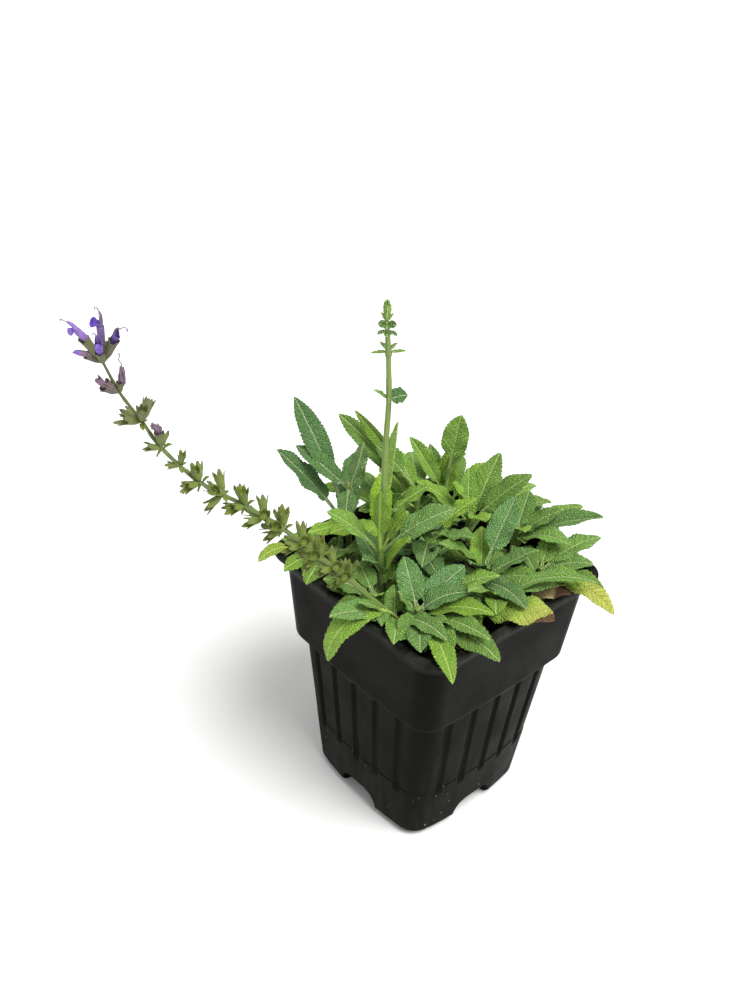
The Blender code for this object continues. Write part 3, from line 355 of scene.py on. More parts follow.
def lumps(x, y, size, seed):
    """Smooth bumps from -1 to 1: random heights on a square net, eased between knots."""
    knots = np.random.default_rng(seed).uniform(-1, 1, (64, 64))
    gx, gy = x / size, y / size
    ix, iy = np.floor(gx).astype(int), np.floor(gy).astype(int)
    tx, ty = eased(0, 1, gx - ix), eased(0, 1, gy - iy)
    corner = [[knots[(ix + a) % 64, (iy + b) % 64] for b in (0, 1)] for a in (0, 1)]
    near = corner[0][0] + (corner[0][1] - corner[0][0]) * ty
    far = corner[1][0] + (corner[1][1] - corner[1][0]) * ty
    return near + (far - near) * tx


def soil_height(x, y):
    """Level of the soil: wide, middling and fine lumps added up, in millimetres."""
    return (SOIL_Z + 0.9 + 0.8 * lumps(x, y, 17, 1) + 0.55 * lumps(x, y, 5, 2)
            + 0.4 * lumps(x, y, 2.1, 3) + 0.22 * lumps(x, y, 1.0, 4))


def soil_skin():
    """Square top as rings from the middle out, then a skirt down inside the pot.

    The outline is r = half width / (|cos|^n + |sin|^n)^(1/n) of the bearing, n its squareness.
    """
    turn = np.linspace(0, 2 * math.pi, 260, endpoint=False)
    edge = SOIL_HALF / (np.abs(np.cos(turn)) ** SOIL_SQUARE
                        + np.abs(np.sin(turn)) ** SOIL_SQUARE) ** (1 / SOIL_SQUARE)
    share = np.linspace(0.01, 1, 90)[:, None]
    x, y = share * edge * np.cos(turn), share * edge * np.sin(turn)
    top = np.stack([x, y, soil_height(x, y)], -1)
    skirt = [top[-1] * (k, k, 0) + (0, 0, z) for k, z in ((1.0, 119.0), (0.99, 112.0), (0.6, 110.0))]
    return skin(np.concatenate([top, np.array(skirt)]))


def crumb_skin(middle, size, squash, seed):
    """Loose crumb: a ball of four rings of six points with each point pushed in or out."""
    rng = np.random.default_rng(seed)
    tilt = np.array([0.35, 1.1, 1.95, 2.75])[:, None]
    turn = np.linspace(0, 2 * math.pi, 6, endpoint=False) + rng.uniform(0, 1, (4, 1))
    ball = np.stack([np.sin(tilt) * np.cos(turn), np.sin(tilt) * np.sin(turn),
                     np.broadcast_to(np.cos(tilt), turn.shape)], -1)
    ball = ball * rng.uniform(0.7, 1.25, (4, 6, 1)) * size * squash
    lean = np.array(Matrix.Rotation(rng.uniform(0, 6), 3, rng.normal(size=3)))
    return skin(ball @ lean.T + middle, tint=[rng.uniform(), 0, 0, 1])


def painted(tree, mark="tint"):
    """The three channels of a mark that is kept on the mesh, and its alpha."""
    kept = add(tree, "Attribute", attribute_name=mark).outputs
    parts = add(tree, "SeparateColor", (0, kept["Color"])).outputs
    return parts[0], parts[1], parts[2], kept["Alpha"]


def soil_finish(name, dark, light, grain):
    """Earthy colour that varies from grain to grain; quite rough."""
    made, tree, shader = finish(name, 0.9)
    place = object_place(tree)
    chance = painted(tree)[0]
    mottle = plus(tree, noise_of(tree, place, grain, 5.0, 0.7), times(tree, chance, 0.3))
    colour = colour_between(tree, step_of(tree, mottle, 0.35, 0.85), dark, light)
    surface(tree, shader, colour, noise_of(tree, place, grain * 2.5, 6.0, 0.75), 0.8, 0.0006)
    return made


def scattered_crumbs(count, size, squash, seed):
    """Crumbs lying all over the soil, from half to one and a third of the given size."""
    rng = np.random.default_rng(seed)
    spots = rng.uniform(-SOIL_HALF + 3, SOIL_HALF - 3, (count, 2))
    level = soil_height(spots[:, 0], spots[:, 1])
    sizes = size * rng.uniform(0.5, 1.3, count)
    return joined([crumb_skin((x, y, z + 0.3 * r), r, squash, (seed, k))
                   for k, ((x, y), z, r) in enumerate(zip(spots, level, sizes))])


# Loose bits: how many, size, squash, seed of their places, look, dark and light colour, and
# clouds of colour to a metre.
LOOSE_BITS = {
    "soil_crumbs": (480, 1.1, (1.0, 1.0, 0.8), 5,
                    "peat_crumb", (0.008, 0.006, 0.004), (0.05, 0.034, 0.02), 500.0),
    "bark_shreds": (60, 2.1, (1.5, 0.35, 0.25), 6,
                    "bark", (0.035, 0.02, 0.011), (0.13, 0.08, 0.045), 600.0),
    "perlite_grains": (14, 0.9, (1.0, 0.9, 0.8), 7,
                       "perlite", (0.5, 0.49, 0.45), (0.78, 0.77, 0.73), 700.0),
}
piece("soil_bed", soil_skin(), soil_finish("peat", (0.006, 0.004, 0.003), (0.03, 0.021, 0.013),
                                           420.0), "soil", "soil")
for name, (count, size, squash, seed, *look) in LOOSE_BITS.items():
    bits = scattered_crumbs(count, size, np.array(squash), seed)
    piece(name, bits, soil_finish(*look), "soil")


# Stand of the plant. Where every stem and leaf grows, which the leaves settle among
# themselves: each is turned, raised or bowed as little as clears it of its neighbours, of
# the stems and of the pot, so a plain stand-in of each leaf is tried for room.

HOLE_DEPTH = 8.0
# Stand-ins, the same as those that the solids settled with, so that both come out alike:
# sides of a tube and of a calyx, thickness of a blade, room round its stalk and round a
# stem, half width of a stalk, drop of the midrib and depth of the teeth. A short leaf has
# one row less.
TUBE_SIDES, CALYX_SIDES, TEST_THICK, TEST_SPARE, STEM_SPARE = 6, 5, 1.5, 0.39, 0.4
TEST_STALK, TEST_RIB, TEST_TEETH, SHORT_LEAF, STALK_ROWS = 0.85, 0.55, 0.07, 20, 1
RIPPLES, GROUND_CLEAR = 2.4, 2.6
# Level direction toward the camera, also as Blender's own vector.
TOWARD = np.array([0.731, -0.682, 0.0])
FRONT = Vector(TOWARD)
# Parts whose leaves settle later than their place alone would have it.
GIVE_WAY = {"arching_stem": 40, "shoot_front_middle": 30, "shoot_right_front": 25,
            "shoot_far_edge": 60, "shoot_far_left": 60, "shoot_front_left": -10}


# Leaves of one shoot: foot and top of its short stem with its radius, then the leaves.
# A leaf is: height on the stem (0: placed by its steepness), tip (x, y, z), droop in
# degrees, width, stalk share, fold in degrees, roll in degrees, wave.
SHOOTS = {
    "shoot_left_tall": ((-44, -17), (-44, -19, 164), 1.5, [
        (142, (-77, -27, 198), 12, 12.5, 0.4, 12, 35, 0.5),
        (160, (-70, -31, 176), 14, 10.0, 0.14, 18, 30, 0.5),
        (136, (-72, -41, 176), 20, 12.0, 0.36, 16, 20, 1.2),
        (161, (-37, -17, 188), -12, 8.0, 0.1, 24, 70, 1.0),
        (160, (-36, -27, 150), 40, 10.0, 0.12, 14, 10, 0.5),
        (150, (-62, 2, 165), 40, 12.0, 0.25, 14, 0, 0.8),
        (138, (-66, -2, 146), 50, 12.0, 0.25, 14, 0, 0.8),
    ]),
    "shoot_left_inner": ((-30, -6), (-30, -8, 150), 1.7, [
        (0, (-37, 4, 192), -10, 12.5, 0.3, 34, 75, 0.8),
        (0, (-52, -39, 143), 44, 14.5, 0.22, 8, 0, 1.2),
        (0, (-14, -12, 169), 20, 12.5, 0.24, 14, 0, 0.9),
        (0, (-34, -38, 147), 40, 14.5, 0.22, 8, 0, 1.2),
        (0, (-20, 12, 162), 30, 12.0, 0.25, 12, 0, 0.8),
        (0, (-18, -33, 142), 34, 13.5, 0.2, 8, 0, 0.9),
    ]),
    "shoot_back_left": ((-33, 17), (-32, 17, 152), 1.7, [
        (0, (-79, 3, 179), 22, 12.0, 0.3, 12, 30, 0.6),
        (0, (-70, 6, 184), 14, 8.0, 0.24, 30, 70, 0.5),
        (0, (-50, 3, 174), 20, 12.0, 0.44, 16, 30, 0.6),
        (0, (-53, 18, 166), 30, 10.0, 0.2, 20, 0, 0.6),
        (0, (-68, 24, 147), 50, 13.5, 0.25, 12, 0, 0.8),
        (0, (-64, 42, 151), 45, 12.5, 0.25, 12, 0, 0.8),
        (0, (-44, -6, 150), 34, 12.5, 0.25, 12, 0, 0.8),
    ]),
    "shoot_back": ((-33, 36), (-33, 37, 146), 1.8, [
        (0, (-32, 43, 186), 6, 14.0, 0.46, 10, -35, 0.6),
        (0, (-52, 28, 170), 12, 10.0, 0.2, 30, 40, 0.5),
        (0, (-51, 42, 162), 14, 10.0, 0.14, 12, 0, 0.4),
        (0, (-40, 46, 163), 8, 11.0, 0.14, 14, 0, 0.4),
        (0, (-48, 64, 150), 45, 12.5, 0.25, 12, 0, 0.8),
        (0, (-28, 76, 146), 50, 13.5, 0.25, 12, 0, 0.8),
        (0, (-24, 48, 164), 20, 12.0, 0.2, 16, 0, 0.6),
    ]),
    "shoot_back_right": ((-12, 34), (-12, 35, 142), 1.8, [
        (0, (8, 54, 167), 22, 13.5, 0.3, 10, -25, 0.6),
        (0, (-20, 62, 164), 24, 13.5, 0.26, 12, 0, 0.7),
        (0, (-26, 46, 158), 18, 10.5, 0.2, 14, 0, 0.5),
        (0, (-18, 26, 160), 10, 12.0, 0.22, 20, 10, 0.5),
        (0, (-6, 77, 146), 50, 13.5, 0.25, 12, 0, 0.8),
        (0, (-34, 16, 155), 34, 12.5, 0.25, 12, 0, 0.8),
        (0, (6, 26, 150), 34, 12.5, 0.2, 12, 0, 0.8),
        (128, (-9, 12, 137), 30, 13.0, 0.2, 10, 0, 0.7),
    ]),
    "shoot_middle": ((-9, 5), (-9, 4, 146), 1.8, [
        (0, (16, -26, 151), 70, 14.5, 0.22, 8, 0, 0.9),
        (0, (8, -17, 163), 36, 14.0, 0.2, 10, 0, 1.0),
        (0, (-17, -16, 160), 30, 12.5, 0.25, 12, 0, 0.8),
        (0, (20, 4, 153), 44, 12.5, 0.25, 12, 0, 0.8),
        (0, (2, 22, 162), 30, 12.0, 0.25, 12, 0, 0.8),
        (0, (-10, -28, 143), 44, 14.0, 0.2, 8, 0, 0.9),
        (0, (8, -22, 143), 40, 13.5, 0.2, 8, 0, 0.9),
        (0, (8, -5, 147), 34, 11.5, 0.2, 12, 0, 0.7),
        (128, (12, -4, 137), 30, 13.0, 0.2, 10, 0, 0.7),
    ]),
    "shoot_centre": ((20, 10), (20, 11, 138), 1.8, [
        (0, (18, 31, 168), 4, 13.5, 0.3, 14, -15, 0.8),
        (0, (60, 2, 138), 50, 12.0, 0.16, 10, -10, 0.7),
        (0, (45, 25, 140), 30, 10.5, 0.2, 12, -10, 0.6),
        (0, (9, -9, 153), 24, 11.0, 0.2, 18, 0, 0.6),
        (0, (25, -5, 147), 36, 10.5, 0.16, 14, 0, 0.6),
        (0, (36, 30, 148), 20, 12.0, 0.2, 14, 0, 0.6),
        (0, (4, 26, 146), 30, 12.0, 0.2, 12, 0, 0.7),
        (0, (2, 2, 138), 36, 11.0, 0.2, 12, 0, 0.7),
    ]),
    "shoot_right": ((12, 42), (12, 43, 143), 1.8, [
        (0, (43, 68, 155), 26, 12.5, 0.2, 30, -15, 0.6),
        (0, (5, 58, 155), 16, 12.0, 0.16, 14, 0, 0.6),
        (0, (23, 60, 156), 20, 12.0, 0.18, 14, -10, 0.6),
        (0, (24, 78, 148), 44, 14.0, 0.24, 8, 0, 0.9),
        (0, (42, 50, 144), 24, 12.0, 0.2, 14, -10, 0.6),
        (0, (40, 29, 139), 44, 12.5, 0.2, 12, 0, 1.0),
        (0, (22, 37, 148), 20, 10.0, 0.12, 16, 0, 0.4),
        (0, (4, 79, 144), 50, 12.5, 0.24, 10, 0, 0.8),
        (128, (22, 16, 137), 30, 13.0, 0.2, 10, 0, 0.7),
    ]),
    "shoot_right_edge": ((35, 35), (35, 36, 135), 1.8, [
        (0, (53, 52, 140), 30, 12.0, 0.16, 14, -10, 0.6),
        (0, (67, 42, 138), 50, 12.5, 0.2, 12, -10, 0.8),
        (0, (44, 68, 144), 50, 12.5, 0.2, 12, 0, 0.8),
        (0, (28, 50, 143), 20, 10.0, 0.16, 16, 0, 0.4),
        (0, (65, 26, 141), 50, 12.0, 0.2, 12, -10, 0.7),
    ]),
    "shoot_right_front": ((36, 3), (36, 3, 133), 1.7, [
        (0, (61, 17, 141), 40, 10.5, 0.16, 12, -10, 0.7),
        (0, (52, -15, 142), 36, 10.5, 0.16, 14, 0, 0.6),
        (0, (72, 33, 139), 40, 8.5, 0.14, 20, -10, 0.6),
        (0, (55, -21, 137), 40, 11.0, 0.2, 12, 0, 0.7),
    ]),
    "shoot_front": ((25, -32), (24.5, -35.5, 138), 1.8, [
        (0, (26, -9, 150), 20, 13.5, 0.14, 10, -25, 0.8),
        (0, (8, -30, 154), 6, 12.5, 0.14, 14, 20, 0.6),
        (0, (70, -31, 136), 56, 15.5, 0.14, 8, -10, 1.2),
        (0, (69, -51, 135), 66, 10.5, 0.28, 12, 0, 0.7),
        (0, (54, -17, 140), 44, 13.5, 0.16, 12, 0, 0.8),
        (0, (63, -43, 139), 50, 12.0, 0.2, 12, 0, 0.7),
        (0, (16, -40, 144), 30, 10.5, 0.16, 12, 0, 0.7),
        (0, (38, -17, 146), 30, 12.0, 0.16, 12, -10, 0.7),
        (127, (41, -50, 134), 34, 12.5, 0.2, 10, 0, 0.7),
    ]),
    "shoot_front_middle": ((17, -13), (17, -13, 137), 1.8, [
        (0, (50, -22, 138), 40, 13.5, 0.18, 12, 0, 0.9),
        (0, (40, 0, 143), 34, 12.0, 0.18, 12, 0, 0.7),
        (0, (1, -6, 146), 30, 12.5, 0.18, 12, 0, 0.7),
        (0, (6, -28, 139), 36, 12.5, 0.16, 12, 0, 0.7),
        (0, (-2, -20, 141), 30, 12.5, 0.18, 12, 0, 0.7),
        (0, (39, -34, 139), 36, 11.0, 0.18, 12, 0, 0.7),
    ]),
    "shoot_front_left": ((5, -44), (5, -44, 138), 1.7, [
        (0, (4, -65, 134), 70, 11.0, 0.16, 12, 0, 0.6),
        (0, (-14, -58, 141), 50, 13.0, 0.16, 8, 0, 0.8),
        (0, (14, -52, 137), 24, 9.5, 0.18, 12, 0, 0.6),
        (0, (-14, -38, 142), 30, 10.5, 0.18, 12, 0, 0.6),
        (0, (-6, -63, 138), 50, 11.0, 0.2, 10, 0, 0.7),
    ]),
    "shoot_left_front": ((-32, -34), (-32, -35, 138), 1.8, [
        (0, (-36, -64, 122), 96, 13.5, 0.18, 8, 0, 0.9),
        (0, (-19, -64, 134), 60, 14.0, 0.18, 8, 0, 0.9),
        (0, (-54, -50, 141), 40, 14.0, 0.2, 8, 0, 0.9),
        (0, (-18, -50, 141), 40, 12.5, 0.2, 10, 0, 0.7),
        (0, (-42, -54, 143), 40, 13.5, 0.2, 8, 0, 0.9),
        (0, (-14, -26, 142), 30, 12.0, 0.2, 12, 0, 0.8),
        (126, (-16, -27, 134), 30, 12.5, 0.2, 10, 0, 0.7),
    ]),
    "shoot_far_edge": ((-10, 49), (-10, 49, 138), 1.6, [
        (0, (-16, 77, 146), 44, 12.0, 0.2, 12, 0, 0.7),
        (0, (12, 68, 148), 30, 12.0, 0.2, 12, 0, 0.6),
        (0, (-28, 60, 147), 30, 12.0, 0.2, 12, 0, 0.7),
    ]),
    "shoot_far_left": ((-46, 8), (-46, 8, 139), 1.6, [
        (0, (-76, 16, 142), 50, 12.5, 0.2, 12, 0, 0.8),
        (0, (-74, -12, 144), 44, 12.5, 0.2, 12, 0, 0.8),
        (0, (-58, 34, 144), 36, 12.0, 0.2, 12, 0, 0.7),
    ]),
}

# The upright flowering stem: centre line, then the leaves of its lower node and the
# small pairs further up, written as above.
UPRIGHT_PATH = [(-2, -32, 114.4), (-2, -32, 127), (-4, -33, 151), (-4, -33.5, 180),
                (-4, -34, 209), (-4, -34, 228), (-5, -35, 249), (-6, -36, 262)]
UPRIGHT_LEAVES = [
    (151, (-21, -51, 171), 26, 12.5, 0.36, 12, 10, 0.5),
    (151, (18, -10, 177), 30, 13.5, 0.3, 10, -25, 0.6),
    (152, (5, -27, 175), 20, 11.0, 0.4, 16, -30, 0.4),
    (152, (-1, -38, 186), -10, 9.5, 0.34, 14, 20, 0.4),
    (153, (-16, -24, 184), 14, 11.5, 0.3, 14, 30, 0.5),
    (137, (12, -31, 166), 26, 9.0, 0.18, 26, -40, 0.4),
    (136, (-4, -50, 145), 40, 10.5, 0.22, 14, 0, 0.7),
    (138, (-22, -32, 152), 40, 10.5, 0.22, 14, 20, 0.7),
    (126, (-7, -12, 135), 30, 13.0, 0.2, 10, 0, 0.7),
    (134, (10, -28, 144), 34, 11.0, 0.22, 12, 0, 0.7),
    (228, (-8, -39, 232), 14, 3.4, 0.1, 20, 0, 0.2),
    (228, (1.5, -28.5, 230), 24, 8.0, 0.06, 10, -30, 0.5),
    (249, (-10, -40, 248), -20, 2.8, 0.1, 20, 0, 0.1),
    (249, (0, -30, 250), -20, 2.8, 0.1, 20, 0, 0.1),
]

# The arching stem: centre line, the clusters of calyces along it and the leaves at
# its foot. A cluster is: centre, number of calyces, calyx length, first bearing.
ARCH_PATH = [(20, -37, 114.4), (20, -37, 126), (17, -42, 131), (11, -52, 143),
             (6, -61, 155), (0, -72, 167), (-8, -85, 182), (-16, -98, 194),
             (-26, -112, 205), (-35, -123, 220), (-39, -128, 231), (-43, -134, 243),
             (-46, -138, 255)]
CLUSTERS = [
    ((6, -61, 155), 5, 8.5, 20), ((3, -66, 161), 4, 9.0, 56), ((0, -72, 167), 5, 9.5, 20),
    ((-4, -77, 174), 4, 9.5, 56), ((-8, -85, 182), 5, 9.5, 20), ((-12, -92, 187), 4, 9.5, 56),
    ((-16, -98, 194), 4, 9.5, 20), ((-21, -105, 199), 4, 9.5, 60),
    ((-26, -112, 205), 4, 9.0, 20), ((-31, -118, 212), 2, 6.0, 100),
    ((-35, -123, 220), 2, 7.0, 225), ((-39, -128, 231), 4, 10.0, 45),
]
ARCH_LEAVES = [
    (129, (3, -71, 142), 50, 14.0, 0.16, 10, 10, 0.8),
    (129, (52, -44, 138), 34, 10.5, 0.24, 12, -10, 0.8),
    (132, (6, -59, 144), 20, 8.0, 0.14, 16, 10, 0.4),
    (129, (38, -62, 140), 50, 10.0, 0.24, 12, 0, 0.6),
    (128, (-1, -67, 112), 124, 15.0, 0.3, 10, 0, 0.6),
    (131, (14, -36, 144), 26, 10.0, 0.16, 14, 0, 0.5),
]
# Calyces that hold a flower: foot on the stem, mouth, flower tip, the side its hood is
# on, then whether the flower has withered.
UPWARD = (0.0, 0.0, 1.0)
FLOWERS = [
    ((-46, -138, 255), (-46.4, -137.5, 263), (-45.8, -138, 275.5), (0.68, 0.73, 0.0), False),
    ((-46, -138, 255), (-49, -143, 265.5), (-53, -147.5, 271), UPWARD, False),
    ((-46, -138, 255), (-49.5, -143, 258.5), (-52, -146.5, 258.8), UPWARD, False),
    ((-46, -138, 255), (-42.8, -140.6, 261.5), (-40, -142.5, 269), UPWARD, False),
    ((-46, -138, 255), (-41.9, -134.3, 265.5), (-40.2, -133, 269.4), UPWARD, False),
    ((-43, -134, 243), (-45.4, -139, 247), (-46.8, -142, 249.5), UPWARD, True),
    ((-43, -134, 243), (-42, -133, 248), (-41.8, -132.8, 255), UPWARD, True),
    ((-35, -123, 220), (-34, -124, 228), (-35, -126, 231.5), UPWARD, True),
]

# Old leaves that stand alone in the soil: where the upright part of the stalk ends,
# tip, droop, width, stalk share, fold, roll, wave.
OLD_LEAVES = {
    "old_leaf_yellow": ((45, 28, 130), (80, 34, 128), 66, 10.0, 0.34, 12, -15, 0.6),
    "old_leaf_olive": ((38, -7, 130), (70, 3, 141), 44, 19.0, 0.16, 6, -10, 1.2),
    "old_leaf_brown": ((44, 14, 128), (62, 24, 141), 30, 8.0, 0.2, 20, -20, 1.0),
    "old_leaf_pale": ((-45, -46, 131), (-50, -67, 124), 100, 6.0, 0.44, 16, 30, 0.4),
}


def smooth_line(path, steps):
    """Catmull-Rom curve through the path points, with so many steps between them."""
    path = np.array(path, float)
    ends = np.concatenate([[2 * path[0] - path[1]], path, [2 * path[-1] - path[-2]]])
    a, b, c, d = (ends[k:len(ends) - 3 + k, None] for k in range(4))
    t = (np.arange(steps) / steps)[:, None]
    line = 0.5 * (2 * b + (c - a) * t + (2 * a - 5 * b + 4 * c - d) * t ** 2
                  + (3 * b - a - 3 * c + d) * t ** 3)
    return np.concatenate([line.reshape(-1, 3), path[-1:]])


def around(line, across, up, x, y):
    """Rings of points: each point of a line moved by x along `across` and by y along `up`."""
    return line[:, None] + x[..., None] * across[:, None] + y[..., None] * up[:, None]


def tree(points, faces):
    """Faces that can be asked which others they cross."""
    return BVHTree.FromPolygons([tuple(map(float, p)) for p in points], faces)


def ring_faces(rows, sides, first=0):
    """Triangles between the neighbouring rings of a tube, numbered from its first ring."""
    faces = []
    for r in range(rows - 1):
        for k in range(sides):
            a, b = first + r * sides + k, first + r * sides + (k + 1) % sides
            faces += [(a, b, b + sides), (a, b + sides, a + sides)]
    return faces


def tube(line, radii):
    """Stand-in of a stem, the same as in the solids: a tube carried without twist, fan ends."""
    sides = TUBE_SIDES
    line = np.asarray(line, float)
    tangents = np.gradient(line, axis=0)
    tangents /= np.linalg.norm(tangents, axis=1)[:, None]
    across = np.cross(tangents[0], (0.0, 1.0, 0.0))
    if np.linalg.norm(across) < 0.2:
        across = np.cross(tangents[0], (1.0, 0.0, 0.0))
    points = []
    for centre, tangent, radius in zip(line, tangents, radii):
        across = across - tangent * (across @ tangent)
        across /= np.linalg.norm(across)
        other = np.cross(tangent, across)
        for k in range(sides):
            a = 2 * math.pi * (k + 0.5) / sides
            points.append(centre + radius * (math.cos(a) * across + math.sin(a) * other))
    faces = ring_faces(len(line), sides)
    first, last = len(points), len(points) + 1
    points += [line[0], line[-1] + tangents[-1] * radii[-1] * 0.4]
    end = first - sides
    for k in range(sides):
        faces += [((k + 1) % sides, k, first), (end + k, end + (k + 1) % sides, last)]
    return tree(points, faces)


def leaf_line(foot, tip, droop):
    """Midrib from foot to tip: an arc in the upright plane that turns down by `droop`."""
    foot, tip = np.array(foot, float), np.array(tip, float)
    chord = tip - foot
    heading = math.atan2(chord[1], chord[0])
    pitch = math.atan2(chord[2], math.hypot(chord[0], chord[1]))
    s = np.linspace(0, 1, 25)
    angle = pitch + math.radians(droop) * (0.5 - s)
    level = np.cos(angle)
    step = np.stack([level * math.cos(heading), level * math.sin(heading), np.sin(angle)], 1)
    line = np.concatenate([[np.zeros(3)], np.cumsum((step[1:] + step[:-1]) / 2, axis=0)])
    line *= np.linalg.norm(chord) / np.linalg.norm(line[-1])
    return foot + line, angle, heading


def blade_half(leaf, s, least):
    """Half width: half the leaf's width * b^0.38 * (1 - b)^0.55 / 0.533, b along the blade."""
    b = np.clip((s - leaf[4]) / (1 - leaf[4]), 0, 1)
    return np.maximum(0.5 * leaf[3] * b ** 0.38 * (1 - b) ** 0.55 / 0.533, least)


def leaf_surface(leaf, s, u, least=0.55):
    """Points and normals of the leaf's middle surface.

    s runs from foot (0) to tip (1) and u across from one edge (-1) to the other (1), as a
    row or a grid. Both edges are lifted by the fold and rippled by a sine along the blade.
    """
    foot, tip, droop, width, stalk, fold, roll, wave = leaf
    line, angle, heading = leaf_line(foot, tip, droop)
    at = np.linspace(0, 1, len(line))
    centre = read_off(s, at, line)
    a = np.interp(s, at, angle)
    east, north = math.cos(heading), math.sin(heading)
    side = np.array([north, -east, 0.0])
    up = np.stack([-np.sin(a) * east, -np.sin(a) * north, np.cos(a)], 1)
    turn = np.radians(roll) * np.clip(s / max(stalk, 0.05), 0, 1)
    across = np.cos(turn)[:, None] * side + np.sin(turn)[:, None] * up
    normal = -np.sin(turn)[:, None] * side + np.cos(turn)[:, None] * up
    b = np.clip((s - stalk) / (1 - stalk), 0, 1)
    half = blade_half(leaf, s, np.broadcast_to(least, (len(s), 1))[:, 0])
    lift = math.radians(fold)
    ripple = wave * np.sin(2 * math.pi * RIPPLES * b[:, None] + 1.3 * np.sign(u))
    ripple = ripple * (half / (0.5 * width))[:, None] * np.abs(u) ** 1.5
    out = half[:, None] * u * math.cos(lift)
    rise = half[:, None] * np.abs(u) * math.sin(lift) + ripple
    return around(centre, across, normal, out, rise), normal


def leaf_block(leaf):
    """Plain stand-in of a leaf: rows of six points, three over and three under."""
    stalk = leaf[4]
    rows = 3 if math.dist(leaf[0], leaf[1]) < SHORT_LEAF else 4
    s = np.concatenate([np.linspace(0, stalk, STALK_ROWS, endpoint=False),
                        stalk + (1 - stalk) * np.linspace(0, 1, rows) ** 0.85])
    blade = s >= stalk
    edge = 1 + TEST_TEETH * np.where(np.arange(len(s)) % 2 == 0, 1, -1) * blade
    points, normal = leaf_surface(leaf, s, np.array([-1.0, 0.0, 1.0]))
    middle = points[:, 1:2, :]
    points = middle + (points - middle) * edge[:, None, None]
    half = np.linalg.norm(points[:, 0] - points[:, 1], axis=1)
    stem = TEST_STALK + TEST_SPARE
    grow = np.where(half < stem, stem / np.maximum(half, 1e-3), 1.0)
    grow[-1] = 1.0
    points = middle + (points - middle) * grow[:, None, None]
    depth = np.where(blade, TEST_RIB, 1.0) + TEST_SPARE
    depth[-1] = 0.1
    top = points + normal[:, None, :] * TEST_THICK / 2
    low = points - normal[:, None, :] * TEST_THICK / 2
    low[:, 1, :] -= normal * depth[:, None]
    verts = np.concatenate([top, low[:, ::-1, :]], axis=1).reshape(-1, 3)
    faces = []
    for r in range(len(s) - 1):
        for k in range(6):
            a, b = r * 6 + k, r * 6 + (k + 1) % 6
            faces += [(a, a + 6, b), (b, a + 6, b + 6)] if k in (1, 4) else [
                (a, b + 6, b), (a, a + 6, b + 6)]
    n = (len(s) - 1) * 6
    ends = [(0, 1, 5), (1, 4, 5), (1, 2, 4), (2, 3, 4)]
    return verts, faces + ends + [(n + a, n + c, n + b) for a, b, c in ends]


def frame_of(direction, above=UPWARD):
    """Unit direction with two directions across it, the second leaning to `above`."""
    d = np.array(direction, float)
    d /= np.linalg.norm(d)
    across = np.cross(d, above)
    if np.linalg.norm(across) < 0.15:
        across = np.cross(d, TOWARD)
    across /= np.linalg.norm(across)
    return d, across, np.cross(across, d)


def calyx_block(foot, mouth):
    """Stand-in of a calyx, the same as in the solids: a bell with a shallow inner floor."""
    sides = CALYX_SIDES
    foot, mouth = np.array(foot, float), np.array(mouth, float)
    d, across, up = frame_of(mouth - foot)
    length = np.linalg.norm(mouth - foot)
    levels = [(0.12, 0.55), (0.5, 1.6), (1.0, 2.2), (0.55, 1.25)]
    points = [foot + d * 0.3]
    for along, radius in levels:
        for k in range(sides):
            a = 2 * math.pi * (k + 0.25) / sides
            points.append(foot + d * length * along
                          + radius * (math.cos(a) * across + math.sin(a) * up))
    faces = [(0, 1 + (k + 1) % sides, 1 + k) for k in range(sides)]
    faces += ring_faces(len(levels), sides, 1)
    start = len(points) - sides
    faces += [(start, start + k, start + k + 1) for k in range(1, sides - 1)]
    return tree(points, faces)


def nearest_on(line, point):
    """Closest point of a line to a point, with the line's direction there."""
    best = None
    for a, b in zip(line[:-1], line[1:]):
        t = np.clip((point - a) @ (b - a) / ((b - a) @ (b - a)), 0, 1)
        near = a + t * (b - a)
        gap = np.linalg.norm(point - near)
        if best is None or gap < best[0]:
            best = (gap, near, b - a)
    return best[1], best[2]


def cluster_mouths(centre, tangent, count, length, bearing):
    """Mouth points of the calyces that stand around one joint of the stem."""
    d, across, up = frame_of(tangent)
    mouths = []
    for k in range(count):
        a = math.radians(bearing + 360 * k / count)
        lean = math.radians(52 + 9 * math.sin(2.3 * k + bearing))
        way = d * math.cos(lean) + (across * math.cos(a) + up * math.sin(a)) * math.sin(lean)
        mouths.append(np.array(centre, float) + way * length)
    return mouths


def moved(leaf, turn, lift, hump):
    """The leaf swung about its foot, raised, and bowed more, all in degrees."""
    foot = Vector(leaf[0])
    chord = Vector(leaf[1]) - foot
    chord.rotate(Matrix.Rotation(math.radians(turn), 3, "Z"))
    level = Vector((chord.x, chord.y, 0)).normalized()
    chord.rotate(Matrix.Rotation(math.radians(-lift), 3, Vector((-level.y, level.x, 0))))
    return (leaf[0], tuple(foot + chord), leaf[2] + hump) + leaf[3:]


def trials():
    """Small changes to try with their cost, the smallest first."""
    return sorted((abs(turn) + 1.3 * abs(lift) + 0.3 * hump, turn, lift, hump)
                  for turn in range(-36, 37, 6) for lift in (-6, 0, 6, 12, 18, 26, 34)
                  for hump in (0, 20, 40))


